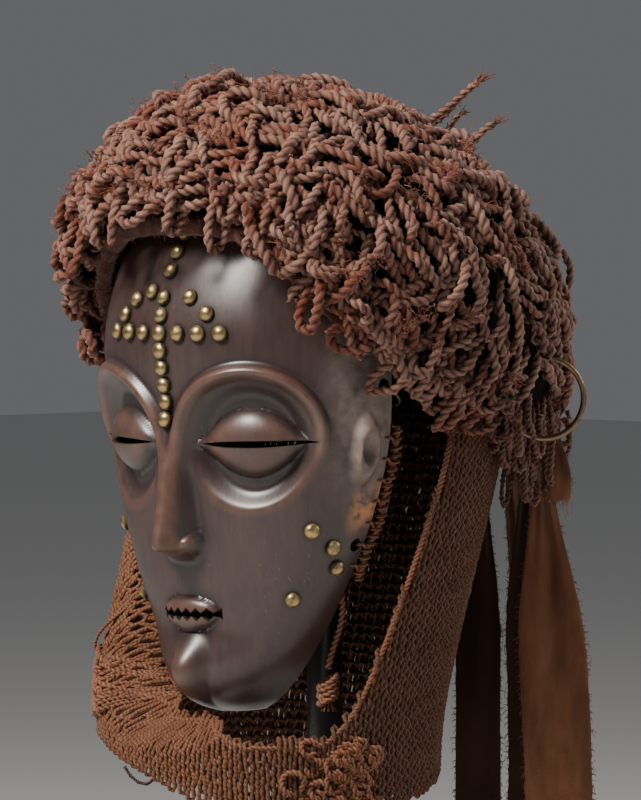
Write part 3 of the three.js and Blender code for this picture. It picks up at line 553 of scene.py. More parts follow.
def wood_material():
    """Dark, handled wood: lighter on worn ridges, dusty towards the rim, grimy round the tacks with painted
    contact shade there, and painted shade in the carved hollows.
    """
    settings = bpy.context.scene.mask_face
    material, nodes, shader = new_material("carved wood", specular=0.55, coat=0.16)
    place = nodes.place()
    ridge, dust, grime_and_shade = nodes.attribute("ridge"), nodes.attribute("dust"), nodes.attribute("grime_and_shade")
    mottle = nodes.mottle(22.0, 1.6)
    fine = nodes.mottle(160.0, 1.8)
    grain = nodes.noise(nodes.map(place, (260.0, 260.0, 26.0)), 1.0, 6, 0.65)
    dark = shade(0.42, settings.wood)
    colour = nodes.mix(mottle, dark, settings.wood)
    colour = nodes.mix(nodes.spread(grain, 0.35, 0.75, 0.0, 0.18), colour, settings.bare)
    worn = nodes.times(nodes.spread(ridge, 0.2, 1.1, 0.0, 0.62),
                       nodes.spread(fine, 0.1, 0.8, 0.35, 1.0), clamp=True)
    colour = nodes.mix(worn, colour, settings.bare)
    # Painted shade: the carved hollows are darkened nearly to black.
    hollow = nodes.spread(ridge, -0.1, -0.9, 0.0, 0.6)
    colour = nodes.mix(hollow, colour, HOLLOW_PAINTED_SHADE)
    dusty = nodes.times(dust, nodes.spread(fine, 0.2, 0.8, 0.35, 1.0), clamp=True)
    colour = nodes.mix(dusty, colour, settings.dust)
    raw = nodes.times(nodes.attribute("raw"), nodes.spread(fine, 0.3, 0.6, 0.1, 1.0), clamp=True)
    colour = nodes.mix(raw, colour, RAW_WOOD)
    # Grime with painted contact shade in a ring round each tack.
    colour = nodes.mix(nodes.times(grime_and_shade, 0.9), colour, GRIME_AND_SHADE_DARK)
    lines = nodes.noise(nodes.map(place, (900.0, 40.0, 420.0)), 1.0, 2, 0.5)
    marks = nodes.times(nodes.spread(lines, 0.66, 0.72), nodes.spread(mottle, 0.5, 0.8, 0.0, 0.5))
    colour = nodes.mix(marks, colour, shade(0.8, settings.dust))
    nodes.feed(shader, "Base Color", colour)
    gloss = nodes.spread(mottle, 0.1, 0.9, 0.31, 0.45)
    gloss = nodes.plus(gloss, nodes.times(dusty, 0.4), clamp=True)
    nodes.feed(shader, "Roughness", gloss)
    scratches = nodes.noise(nodes.map(place, (1500.0, 1500.0, 90.0)), 1.0, 3, 0.6)
    height = nodes.plus(nodes.times(grain, 0.6), nodes.times(scratches, 0.25))
    nodes.feed(shader, "Normal", nodes.bump(height, 0.22, 0.0006))
    return material


# Near-black colour for painted shade.
PAINTED_SHADE_DARK = (0.008, 0.003, 0.002)


def cord_material(name, tan, ochre, around=22.0, along=3.0, groove_shade=0.7, twist=0.0, fuzz=0.12):
    """Twisted plant fibre: handled on top, ochre dust low down, painted shade in the grooves between the
    plies and where a point attribute marks it.
    """
    material, nodes, shader = new_material(name, roughness=0.78, sheen=fuzz, specular=0.3)
    low, tone = nodes.attribute("ochre"), nodes.attribute("tone")
    fibres = nodes.use(group("fibre"), Around=around, Along=along)
    # Painted shade in the grooves between the plies.
    plies = nodes.use(group("ply"), Depth=groove_shade, Twist=twist)["Groove shade"]
    patch = nodes.mottle(60.0, 2.2)
    dusty = nodes.plus(low, nodes.spread(patch, 0.45, 0.9, -0.15, 0.55), clamp=True)
    colour = nodes.mix(dusty, tan, ochre)
    pale = tuple(min(1.0, 1.7 * value) for value in tan)
    colour = nodes.mix(nodes.times(tone, nodes.spread(fibres["Height"], 0.45, 0.75)), colour, pale)
    colour = nodes.mix(nodes.spread(fibres["Dark"], 1.0, 0.0, 0.0, 0.55), colour,
                       shade(0.3, ochre))
    colour = nodes.mix(plies, colour, shade(0.22, ochre))
    # Painted shade from a point attribute, nearly black: gaps between loops, tassels, the back of the net.
    colour = nodes.mix(nodes.times(nodes.attribute("sunk"), 0.8), colour, PAINTED_SHADE_DARK)
    nodes.feed(shader, "Base Color", colour)
    nodes.feed(shader, "Roughness", nodes.spread(dusty, 0.0, 1.0, 0.6, 0.95))
    nodes.feed(shader, "Normal", nodes.bump(fibres["Height"], 0.55, 0.0007))
    return material


def felted_material(name, colour_value, dark=0.35, fuzz_sheen=0.3):
    """Matted fibre without a clear direction."""
    material, nodes, shader = new_material(name, roughness=0.95, sheen=fuzz_sheen, specular=0.15)
    patch = nodes.mottle(90.0, 2.0)
    fuzz = nodes.noise(nodes.place(), 900.0, 6, 0.75)
    colour = nodes.mix(patch, tuple(dark * value for value in colour_value), colour_value)
    colour = nodes.mix(nodes.spread(fuzz, 0.35, 0.7, 0.55, 0.0), colour, shade(0.25, colour_value))
    nodes.feed(shader, "Base Color", colour)
    nodes.feed(shader, "Normal", nodes.bump(fuzz, 0.8, 0.0012))
    return material


TARNISH = (0.03, 0.02, 0.012)


def metal_material(name, colour_value, roughness, amount=0.6):
    """Old metal: dark tarnish in patches, and in the low parts that the attribute marks."""
    material, nodes, shader = new_material(name, metallic=1.0)
    patch = nodes.mottle(260.0, 2.4)
    low = nodes.attribute("low")
    dirt = nodes.plus(low, nodes.spread(patch, 0.5, 1.0, 0.0, amount), clamp=True)
    nodes.feed(shader, "Base Color", nodes.mix(dirt, colour_value, TARNISH))
    nodes.feed(shader, "Roughness", nodes.spread(dirt, 0.0, 1.0, roughness, 0.8))
    nodes.feed(shader, "Metallic", nodes.spread(dirt, 0.2, 1.0, 1.0, 0.25))
    fine = nodes.noise(nodes.place(), 1400.0, 3, 0.6)
    nodes.feed(shader, "Normal", nodes.bump(fine, 0.12, 0.0003))
    return material


# The second colour is painted shade for the cloth strips.
RUST_STAIN, CLOTH_PAINTED_SHADE = (0.10, 0.035, 0.018), (0.018, 0.009, 0.006)


def cloth_material():
    """Worn plain-woven cloth, stained in long patches, with painted shade where its tone attribute marks it.
    """
    settings = bpy.context.scene.mask_trim
    material, nodes, shader = new_material("worn cloth", roughness=0.92, sheen=0.3, specular=0.2)
    place = nodes.place()
    weave = nodes.use(group("weave"), Threads=1.5)["Height"]
    stain = nodes.noise(nodes.map(place, (60.0, 60.0, 14.0)), 1.0, 5, 0.6)
    patch = nodes.mottle(70.0, 2.0)
    tone = nodes.attribute("tone")
    colour = nodes.mix(nodes.spread(stain, 0.35, 0.7), shade(0.4, settings.cloth),
                       shade(1.5, settings.cloth))
    colour = nodes.mix(nodes.times(patch, 0.35), colour, RUST_STAIN)
    # Painted shade from the tone attribute, for strips that hang in shadow.
    colour = nodes.mix(nodes.times(tone, 0.85), colour, CLOTH_PAINTED_SHADE)
    colour = nodes.mix(nodes.spread(weave, -1.0, 0.3, 0.4, 0.0), colour, shade(0.3, settings.cloth))
    nodes.feed(shader, "Base Color", colour)
    nodes.feed(shader, "Normal", nodes.bump(weave, 0.35, 0.0004))
    return material


PAINT, SPECKLED_PAINT = (0.012, 0.012, 0.013), (0.024, 0.023, 0.023)


def stand_material():
    """Black paint on steel, faintly uneven."""
    material, nodes, shader = new_material("stand paint", specular=0.5, coat=0.35)
    speck = nodes.mottle(300.0, 1.5)
    nodes.feed(shader, "Base Color", nodes.mix(speck, PAINT, SPECKLED_PAINT))
    nodes.feed(shader, "Roughness", nodes.spread(speck, 0.2, 0.8, 0.26, 0.36))
    peel = nodes.noise(nodes.place(), 500.0, 2, 0.5)
    nodes.feed(shader, "Normal", nodes.bump(peel, 0.08, 0.0003))
    return material


MATERIALS = {}
RUST_CORD, RUST_DUST = (0.27, 0.12, 0.062), (0.24, 0.075, 0.03)
# The last colour is near-black painted shade: the cap shows only in the gaps between the loops.
MATTED, BRIM_RED, CAP_PAINTED_SHADE = (0.40, 0.10, 0.04), (0.13, 0.030, 0.016), (0.014, 0.005, 0.0035)
FELT, WIRE = (0.03, 0.028, 0.026), (0.09, 0.08, 0.075)


def finish_of(name):
    """A material by its plain name, made when it is first asked for."""
    hair, yarn, trim = (getattr(bpy.context.scene, key) for key in ("mask_coiffure", "mask_net", "mask_trim"))
    makers = {
        "wood": wood_material,
        "coiffure cord": lambda: cord_material("coiffure cord", hair.tan, hair.ochre),
        "net yarn": lambda: cord_material("net yarn", yarn.colour, shade(0.75, yarn.colour),
                                          around=7.0, along=9.0, groove_shade=0.6, twist=2.6, fuzz=0.05),
        "rust cord": lambda: cord_material("rust cord", RUST_CORD, RUST_DUST, around=16.0),
        "matted fibre": lambda: felted_material("matted fibre", MATTED),
        "brim felt": lambda: felted_material("brim felt", BRIM_RED),
        "shaded cap": lambda: felted_material("shaded cap", CAP_PAINTED_SHADE, 0.4, fuzz_sheen=0.0),
        "felt": lambda: felted_material("felt", FELT, 0.6),
        "brass": lambda: metal_material("tack brass", trim.brass, 0.34, amount=0.7),
        "bronze": lambda: metal_material("ring bronze", trim.bronze, 0.38),
        "dark wire": lambda: metal_material("dark wire", WIRE, 0.5),
        "cloth": cloth_material,
        "stand": stand_material,
    }
    if name not in MATERIALS:
        MATERIALS[name] = makers[name]()
    return MATERIALS[name]


# Carved face: half-width, front and rim at each share of the height, as shares of the height

half_width = curve_through([
    (0, 0.05), (0.03, 0.096), (0.09, 0.148), (0.17, 0.198), (0.27, 0.248), (0.38, 0.29),
    (0.5, 0.318), (0.62, 0.324), (0.74, 0.314), (0.85, 0.292), (0.93, 0.262), (1, 0.225)])
front_reach = curve_through([
    (0, 0.300), (0.02, 0.352), (0.05, 0.386), (0.1, 0.400), (0.17, 0.386), (0.27, 0.394),
    (0.38, 0.402), (0.5, 0.411), (0.62, 0.424), (0.74, 0.430), (0.85, 0.392), (0.93, 0.336), (1, 0.278)])
rim_reach = curve_through([(0, 0.254), (0.1, 0.229), (0.27, 0.195), (0.5, 0.157), (0.74, 0.136), (1, 0.110)])

FACE_ROUND, FACE_FULLNESS = 0.305, 0.85
RIM_WALL, FRONT_WALL, CHIN_FLOOR = 7.0, 13.0, 22.0
EYE = {"side": 0.174, "rise": 0.525, "half_width": 0.136, "half_height": 0.124, "depth": 0.027}
LID = {"half_width": 0.122, "half_height": 0.066, "bulge": 0.036}
BROW = {"height": 0.018, "spread": 0.16}
NOSE = {"root": 0.6, "tip": 0.325, "root_half": 0.019, "tip_half": 0.034, "height": 0.082, "wing": 0.04}
MOUTH = {"rise": 0.2, "half_width": 0.1, "half_height": 0.034, "fullness": 0.024}
CHIN = {"rise": 0.085, "spread": 0.1, "fullness": 0.036}
EAR = {"side": 0.425, "rise": 0.5, "half_height": 0.065, "half_width": 0.032, "relief": 0.02}
SLIT_HALF, SLIT_HEIGHT = 0.11, 3.2
MOUTH_HALF, MOUTH_GAP, TEETH = 0.075, 6.0, 7
RIM_HOLES = (0.32, 0.62, 0.76)
RIM_HOLE, RIM_HOLE_INSET = 6.0, 5.0
RAW_SHARE, RAW_SPREAD = 0.39, 0.06
HOLLOW_DEPTH, HOLLOW_OVERRUN = 40, 8
# Reach of the dark ring round each tack, grime with painted contact shade, in mm from its middle.
GRIME_AND_SHADE_REACH = (3.6, 6.2)


def eye_relief(side, rise):
    """A round socket with a raised brow over it and two lids that meet at the slit."""
    across, up = side - EYE["side"], rise - EYE["rise"]
    ring = np.hypot(across / EYE["half_width"], up / EYE["half_height"])
    socket = -EYE["depth"] * (1 - ease(ring, 0.7, 1.04))
    upper = ease(up / EYE["half_height"], -0.5, 0.4)
    brow = BROW["height"] * swell((ring - 1.12) / BROW["spread"]) * upper
    taper = 1 - (across / LID["half_width"]) ** 2
    height = LID["half_height"] * np.maximum(taper, 0)
    closeness = np.where(height > 0, np.abs(up) / np.maximum(height, 1e-6), 1.0)
    bulge = LID["bulge"] * (1 - np.minimum(closeness, 1) ** 2) ** 0.7 * np.maximum(taper, 0) ** 0.6
    return socket + brow + np.where(closeness < 1, bulge, 0)


def nose_relief(side, rise):
    """A straight ridge that widens downwards, with a wing at each side."""
    along = np.clip((NOSE["root"] - rise) / (NOSE["root"] - NOSE["tip"]), 0, 1)
    half = mixed(NOSE["root_half"], NOSE["tip_half"], along)
    under = ease(rise, NOSE["tip"] - 0.03, NOSE["tip"] + 0.012)
    start = ease(NOSE["root"] - rise, 0, 0.13)
    ridge = NOSE["height"] * mixed(0.22, 1, along ** 1.5) * swell(side / (1.7 * half)) * under * start
    wing = NOSE["wing"] * swell(np.hypot((side - 0.036) / 0.03, (rise - NOSE["tip"] - 0.012) / 0.034))
    return np.maximum(ridge, wing)


def mouth_relief(side, rise):
    """The oval swelling of the lips."""
    across = side / MOUTH["half_width"]
    up = (rise - MOUTH["rise"]) / MOUTH["half_height"]
    return MOUTH["fullness"] * np.sqrt(np.maximum(0, 1 - across ** 2 - up ** 2))


def ear_relief(side, rise):
    """A plain raised ring for each ear."""
    ring = np.hypot((side - EAR["side"]) / EAR["half_width"], (rise - EAR["rise"]) / EAR["half_height"])
    return EAR["relief"] * swell((ring - 0.62) / 0.55)


def face_relief(side, rise):
    """How far the carving stands out, as a share of the height, at a place beside the middle line."""
    chin = CHIN["fullness"] * swell(np.hypot(side, rise - CHIN["rise"]) / CHIN["spread"])
    return (eye_relief(side, rise) + nose_relief(side, rise) + mouth_relief(side, rise)
            + ear_relief(side, rise) + chin)


def level(share):
    """The height above the foot at a share of the face's height."""
    face = bpy.context.scene.mask_face
    return face.bottom + share * face.height


def lean_face(points):
    """Leans upright face points forward about the middle of the face."""
    face = bpy.context.scene.mask_face
    pivot = np.array([0, -0.3 * face.height, face.bottom + face.height / 2])
    turn = Matrix.Rotation(math.radians(face.lean), 3, "X")
    return (points - pivot) @ np.array(turn).T + pivot


def face_points(angle, share, carved=True):
    """Points of the carved surface at angles from the middle line and shares of the height."""
    face = bpy.context.scene.mask_face
    angle, share = np.broadcast_arrays(np.asarray(angle, float), np.asarray(share, float))
    width, rim = half_width(share) * face.height, -rim_reach(share) * face.height
    depth = front_reach(share) * face.height + rim
    side, ahead = np.sin(angle), np.maximum(np.cos(angle), 0)
    points = np.stack([width * side, rim - depth * ahead ** FACE_FULLNESS, level(share)], axis=-1)
    if carved:
        relief = face.height * face_relief(np.abs(angle) * FACE_ROUND, share)
        out = unit(np.stack([side / width, -np.cos(angle) / depth, np.zeros_like(side)], axis=-1))
        points = points + relief[..., None] * out
    return lean_face(points)


def blurred(field, size):
    """A grid of values, averaged over a window."""
    kernel = np.ones(2 * size + 1) / (2 * size + 1)
    for axis in (0, 1):
        padded = np.pad(field, [(size, size) if a == axis else (0, 0) for a in (0, 1)], mode="edge")
        field = np.apply_along_axis(lambda row: np.convolve(row, kernel, mode="valid"), axis, padded)
    return field


def tack_places():
    """Middle and outward axis of each tack, from the solids."""
    places = {}
    for name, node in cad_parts.items():
        if not name.startswith("tack_"):
            continue
        points = np.array([node.matrix_world @ v.co for v in node.data.vertices]) / MM
        middle = 0.5 * (points.min(axis=0) + points.max(axis=0))
        spread = points - points.mean(axis=0)
        axis = np.linalg.svd(spread, full_matrices=False)[2][2]
        if np.dot(axis, middle - np.array([0, 0, middle[2]])) < 0:
            axis = -axis
        places[name] = (points, axis)
    return places


def face_solid():
    """The carved skin, closed behind, before the hollow is cut."""
    face = bpy.context.scene.mask_face
    rows, columns = face.rows, face.columns
    share = np.linspace(0.004, 1, rows)
    angle = np.radians(np.linspace(-90, 90, columns))
    grid_share, grid_angle = np.meshgrid(share, angle, indexing="ij")
    points = face_points(grid_angle, grid_share)
    relief = face_relief(np.abs(grid_angle) * FACE_ROUND, grid_share)
    # Positive on ridges, which wear paler; negative in the hollows, which get painted shade.
    ridge = np.clip((relief - blurred(relief, 7)) / 0.006, -1, 1)
    dust = 0.95 * ease(np.abs(grid_angle), 0.98, 1.42) * ease(grid_share, 0.34, 0.56)
    dust *= 1 - 0.5 * ease(grid_share, 0.7, 0.85)
    # A dark ring round each tack: grime, and painted contact shade where the tack meets the wood.
    grime_and_shade = np.zeros(grid_share.shape)
    for tack_points, _ in tack_places().values():
        away = np.linalg.norm(points - tack_points.mean(axis=0), axis=-1)
        grime_and_shade = np.maximum(grime_and_shade, 1 - ease(away, *GRIME_AND_SHADE_REACH))
    skin_points, faces = ring_skin(points)
    raw = ease(grid_angle, 1.3, 1.45) * swell((grid_share - RAW_SHARE) / RAW_SPREAD)
    values = {"ridge": ridge, "dust": dust, "grime_and_shade": grime_and_shade, "raw": raw}
    return new_piece("carved_face", skin_points, faces, values=values)


def face_hollow():
    """The space behind the carved wall, open at the back and the top."""
    face = bpy.context.scene.mask_face
    angle = np.radians(np.linspace(-90, 90, 49))
    shares = np.linspace(CHIN_FLOOR / face.height, 1, 40)
    rings = []
    for share in shares:
        width = float(half_width(share)) * face.height - RIM_WALL
        rim = -float(rim_reach(share)) * face.height
        front = -float(front_reach(share)) * face.height + FRONT_WALL
        height = level(share) + (HOLLOW_OVERRUN if share == shares[-1] else 0)
        ahead = rim + (front - rim) * np.maximum(np.cos(angle), 0) ** FACE_FULLNESS
        arch = np.stack([width * np.sin(angle), ahead, np.full(len(angle), height)], axis=-1)
        back = rim + HOLLOW_DEPTH
        rings.append(lean_face(np.concatenate([arch, [[width, back, height], [-width, back, height]]])))
    cutter = new_piece("hollow", *ring_skin(np.array(rings)))
    outward(cutter)
    return cutter


def front_cutter(name, outline):
    """A flat outline in X and Z, pushed through the front wall."""
    face = bpy.context.scene.mask_face
    outline = np.array(outline, float)
    near, far = -0.55 * face.height, -0.21 * face.height
    rings = [np.stack([outline[:, 0], np.full(len(outline), y), outline[:, 1]], axis=-1) for y in (near, far)]
    cutter = new_piece(name, *ring_skin(lean_face(np.array(rings))))
    outward(cutter)
    return cutter


def eye_slit(sign):
    """The pierced slit of the left (1) or right (-1) eye, as a cutter."""
    face = bpy.context.scene.mask_face
    half = SLIT_HALF * face.height
    middle = sign * math.sin(EYE["side"] / FACE_ROUND) * float(half_width(EYE["rise"])) * face.height
    marks = np.linspace(-1, 1, 25)
    bend = 0.5 * SLIT_HEIGHT * (1 - marks ** 2)
    top = np.stack([middle + half * marks, level(EYE["rise"]) + bend], axis=-1)
    bottom = np.stack([middle + half * marks, level(EYE["rise"]) - bend], axis=-1)[1:-1][::-1]
    return front_cutter("slit", np.concatenate([top, bottom]))


def mouth_opening():
    """Open between two rows of filed, pointed teeth."""
    face = bpy.context.scene.mask_face
    half = MOUTH_HALF * face.height
    marks = np.arange(2 * TEETH + 1)
    reach = np.where(marks % 2 == 0, 1.0, 0.25) * MOUTH_GAP / 2
    across = mixed(-half, half, marks / (2 * TEETH))
    top = np.stack([across, level(MOUTH["rise"]) + reach], axis=-1)
    bottom = np.stack([across, level(MOUTH["rise"]) - reach], axis=-1)[::-1]
    return front_cutter("mouth", np.concatenate([top, bottom]))


def by_rim(share, behind, sign=1):
    """The middle of the rim's edge at a share of the height, or so far behind it, left (1) or right (-1)."""
    face = bpy.context.scene.mask_face
    across = float(half_width(share)) * face.height - RIM_WALL / 2
    back = -float(rim_reach(share)) * face.height + behind
    return lean_face(np.array([sign * across, back, level(share)]))


def rim_drill(share, sign):
    """A drill across the left (1) or right (-1) rim, as a cutter."""
    bpy.ops.object.select_all(action="DESELECT")
    bpy.ops.mesh.primitive_cylinder_add(vertices=20, radius=RIM_HOLE / 2 * MM, depth=4 * RIM_WALL * MM,
                                        location=Vector(by_rim(share, -RIM_HOLE_INSET, sign)) * MM,
                                        rotation=(0, math.pi / 2, 0))
    return bpy.context.object


class MASK_OT_wooden_face(bpy.types.Operator):
    """Carves the face: a dense skin with its hollow, eye slits, toothed mouth and rim holes"""
    bl_idname = "mask.wooden_face"
    bl_label = "Wooden face"

    def execute(self, context):
        piece = face_solid()
        outward(piece)
        cutters = [face_hollow(), eye_slit(1), eye_slit(-1), mouth_opening()]
        cutters += [rim_drill(share, sign) for share in RIM_HOLES for sign in (1, -1)]
        for cutter in cutters:
            apply_modifier(piece, "BOOLEAN", operation="DIFFERENCE", solver="EXACT", object=cutter)
            bpy.data.objects.remove(cutter)
        select_only(piece)
        bpy.ops.object.shade_smooth_by_angle(angle=math.radians(48))
        finish_piece(piece, "wood", "wooden_face")
        return {"FINISHED"}


# Brass tacks

TACK_RADIUS, TACK_SIDES, TACK_TILT, TACK_STAND = 3.7, 24, 0.05, 1.04
TACK_PROFILE = ((0.98, -0.55), (1.0, 0.0), (0.99, 0.12), (0.93, 0.30), (0.82, 0.52), (0.66, 0.73),
                (0.46, 0.88), (0.24, 0.97), (0.06, 1.0))


def tack_dome():
    """Rings of a dome tack about +Z, base at zero, with radius and height of one."""
    angle = TAU * np.arange(TACK_SIDES) / TACK_SIDES
    return np.array([[(r * math.cos(a), r * math.sin(a), h) for a in angle] for r, h in TACK_PROFILE])


class MASK_OT_tacks(bpy.types.Operator):
    """Sets a domed brass tack at each of the solids' tack places"""
    bl_idname = "mask.tacks"
    bl_label = "Brass tacks"

    def execute(self, context):
        rng = np.random.default_rng(7)
        rings = tack_dome()
        low = 0.9 * np.repeat(1 - ease(rings[:, 0, 2], 0.1, 0.62), TACK_SIDES)
        for name, (solid, axis) in sorted(tack_places().items()):
            reach = solid @ axis
            base = solid.mean(axis=0) + axis * (reach.min() - solid.mean(axis=0) @ axis)
            height = reach.max() - reach.min()
            across = unit(np.cross(axis, UP))
            radius = TACK_RADIUS * rng.uniform(0.96, 1.04)
            tilt = across * rng.normal(0, TACK_TILT) + np.cross(axis, across) * rng.normal(0, TACK_TILT)
            out = unit(axis + tilt)
            across = unit(np.cross(out, UP))
            over = np.cross(out, across)
            points = base + (radius * rings[..., 0:1] * across + radius * rings[..., 1:2] * over
                             + height * TACK_STAND * rings[..., 2:3] * out)
            piece = new_piece(f"brass_{name}", *ring_skin(points), values={"low": low})
            outward(piece)
            finish_piece(piece, "brass", name)
        return {"FINISHED"}


# Coiffure: an egg-shaped mass of loops on a cap, open below

EDGE_HEIGHT, ARCH_RISE, ARCH_SPREAD = 288.0, 112.0, 52.0
WALL_FRONT, WALL_SIDE, WALL_TOP = 34.0, 21.0, 28.0
BRIM_DIAMETER, BRIM_PRESS, BRIM_DROP, BRIM_REACH = 9.0, 2.0, 1.2, 60
CAP_EDGE, CAP_SUNK, CAP_ROUGHNESS = 0.055, 8.5, 0.7
LOOP_ROWS, LOOP_STEPS = 17, 44
EDGE_ROWS = ((0.2, 6.0), (0.5, 6.6), (0.8, 7.4))
REGIONS = (("front", -48, 48), ("left", 48, 128), ("back", 128, 232), ("right", 232, 312))
TASSELS, TASSEL_LAY = 96, 5.2
TASSEL_SHAPE = ((-6, 0), (6, 0.4), (0.4, 1.0), (0.85, 1.6), (1.0, 2.6), (0.84, 3.4), (0.4, 3.0), (4, 2.4))
STRAND, STRAND_LAY, STRAND_ENDS = 5.0, 8.4, 9
# Turn, climb, reach outwards and rise of each strand, in degrees, shares and mm
STRANDS = ((132, 0.77, 33, 20), (138, 0.75, 30, 23), (134, 0.68, 26, 9), (129, 0.65, 20, 12),
           (140, 0.70, 14, 12))
RING_TURNS, RING_TOP = (102, 136), 305.0
# Turn and climb of the large tufts
TUFTS = ((-36, 0.62), (-24, 0.7), (-42, 0.5), (-30, 0.66), (5, 0.3), (52, 0.12), (58, 0.2), (64, 0.1),
         (20, 0.5), (84, 0.5), (96, 0.34), (112, 0.62), (-64, 0.4), (70, 0.42))
TUFT_SIZE, SMALL_TUFT_SIZE, SMALL_TUFTS = 3.2, 1.6, 40
BRIM_HAIRS, HAIR_THICKNESS = 1500, 0.42


def egg_product(a, b):
    """The product of two directions that is 1 for a point on the egg with itself."""
    hair = bpy.context.scene.mask_coiffure
    lean = math.radians(hair.lean)
    long_axis = np.array([0, math.cos(lean), -math.sin(lean)])
    tall_axis = np.array([0, math.sin(lean), math.cos(lean)])
    return (a[..., 0] * b[..., 0] / hair.half_width ** 2
            + (a @ long_axis) * (b @ long_axis) / hair.half_length ** 2
            + (a @ tall_axis) * (b @ tall_axis) / hair.half_height ** 2)


def heading(turn):
    """The level direction at a turn from the front towards the mask's left, in degrees."""
    turn = np.radians(np.asarray(turn, float))
    return np.stack([np.sin(turn), -np.cos(turn), np.zeros_like(turn)], axis=-1)


def edge_height(turn):
    """The height of the coiffure's lower edge, which arches over the face."""
    away = np.abs((np.asarray(turn, float) + 540) % 360 - 180)
    return EDGE_HEIGHT + ARCH_RISE / (1 + (away / ARCH_SPREAD) ** 3.6)


def edge_elevation(turn):
    """The angle at which the middle of the egg sees that edge."""
    ahead = heading(turn)
    rise = edge_height(turn) - bpy.context.scene.mask_coiffure.height
    a = egg_product(ahead, ahead)
    b = 2 * rise * egg_product(ahead, UP)
    c = rise * rise * egg_product(UP, UP) - 1
    return np.arctan2(rise, (-b + np.sqrt(b * b - 4 * a * c)) / (2 * a))


def coiffure_wall(turn, climb):
    """The thickness of the coiffure."""
    low = mixed(WALL_SIDE, WALL_FRONT, np.cos(np.radians(turn)) ** 4)
    return mixed(low, WALL_TOP, climb)


def coiffure_points(turn, climb, depth, relief=0.0):
    """Points at a turn from the front, a climb from the edge (0) to the crown (1) and a depth of the wall."""
    hair = bpy.context.scene.mask_coiffure
    given = (np.asarray(value, float) for value in (turn, climb, depth, relief))
    turn, climb, depth, relief = np.broadcast_arrays(*given)
    elevation = mixed(edge_elevation(turn), math.pi / 2, climb)
    direction = swung(elevation, heading(turn), UP)
    reach = 1 / np.sqrt(egg_product(direction, direction)) + relief - depth * coiffure_wall(turn, climb)
    return np.array([0, -hair.forward, hair.height]) + direction * reach[..., None]


def coiffure_cap():
    """The fibre cap under the loops, from its rough outside to the lining, coloured near black as painted
    shade in the gaps between the loops.
    """
    turn = np.linspace(0, 360, 120, endpoint=False)
    rng = np.random.default_rng(3)
    rings = []
    for climb in np.linspace(0.985, CAP_EDGE, 32):
        rings.append(coiffure_points(turn, climb, 0.0, rng.normal(0, CAP_ROUGHNESS, len(turn)) - CAP_SUNK))
    for climb in np.linspace(CAP_EDGE, 0.94, 16):
        rings.append(coiffure_points(turn, climb, 1.0))
    piece = new_piece("coiffure_cap", *ring_skin(np.array(rings)))
    outward(piece)
    finish_piece(piece, "shaded cap", "coiffure")


def loop_roots(rng):
    """Turn and climb of each loop, in rows round the coiffure from the edge to the crown."""
    hair = bpy.context.scene.mask_coiffure
    roots, marks = [], np.linspace(0, 360, 73)
    for row in range(LOOP_ROWS):
        climb = (row + 0.35) / LOOP_ROWS
        ring = coiffure_points(marks, climb, 0.0)
        around = run_along(ring)
        count = max(3, round(around[-1] / hair.spacing))
        places = (np.arange(count) + 0.5 * (row % 2) + rng.uniform(-0.3, 0.3, count)) / count % 1
        for turn in np.interp(places * around[-1], around, marks):
            roots.append((turn, climb + rng.uniform(-0.02, 0.02)))
    return np.array(roots)


def surface_frames(turn, climb):
    """Places on the coiffure with their directions down, across and out."""
    climb = np.clip(climb, 0.0, 0.97)
    here = coiffure_points(turn, climb, 0.0)
    down = unit(coiffure_points(turn, climb - 0.01, 0.0) - here)
    aside = unit(coiffure_points(turn + 0.5, climb, 0.0) - here)
    out = unit(np.cross(aside, down))
    centre = np.array([0, 0, bpy.context.scene.mask_coiffure.height])
    out = np.where(np.sum(out * (here - centre), axis=1, keepdims=True) < 0, -out, out)
    across = unit(np.cross(out, down))
    return here, down, across, out


def hairpins(roots, rng, thickness, reach):
    """Control points of loops that rise from the cap, lie over it and bend back."""
    turn, climb = roots[:, 0], roots[:, 1]
    here, down, across, out = surface_frames(turn, climb)
    count = len(roots)
    calm = ease(np.cos(np.radians(turn - 150)), 0.0, 0.9) * (1 - ease(climb, 0.3, 0.6))
    swing = rng.normal(0, 1.15, count) * (1 - 0.65 * calm) + 0.5 * np.sin(np.radians(3 * turn) + 7 * climb)
    swing += np.where(climb > 0.7, rng.uniform(-2.4, 2.4, count), 0)
    ahead = unit(swung(swing, down, across))
    length = reach * rng.uniform(0.7, 1.3, count)
    lift = rng.uniform(-3.5, 1.0, count)
    lift -= 3.0 * ease(np.cos(np.radians(turn + 50)), 0.4, 0.95) * (1 - ease(climb, 0.3, 0.6))
    return bent_loops(here, ahead, out, rng, thickness, length, lift)


# Share of the length, place beside the middle and height of each control point of a loop
LOOP_SHAPE = [(0.0, -1.0, -9.0), (0.10, -1.0, -4.0), (0.38, -1.05, -0.8), (0.74, -1.15, -0.6),
              (0.95, -0.75, -2.0), (1.04, 0.0, -3.0), (0.95, 0.75, -2.2), (0.72, 1.1, -1.0),
              (0.36, 1.0, -1.4), (0.08, 0.9, -5.0), (0.0, 0.9, -9.5)]


def bent_loops(here, ahead, out, rng, thickness, length, lift):
    """Control points of loops that leave the cap at here, lie along ahead and bend back."""
    count = len(here)
    side = np.cross(out, ahead)
    gap = thickness * rng.uniform(0.56, 0.95, count)
    roll = rng.normal(0, 0.75, count)
    routes = []
    for share, beside, high in LOOP_SHAPE:
        wobble = rng.normal(0, 0.8, (count, 3))
        rise = high + lift + beside * gap * np.sin(roll)
        routes.append(here + ahead * ((share - 0.3) * length)[:, None]
                      + side * (beside * gap * np.cos(roll))[:, None]
                      + out * (rise - thickness / 2)[:, None] + wobble)
    return np.stack(routes, axis=1)


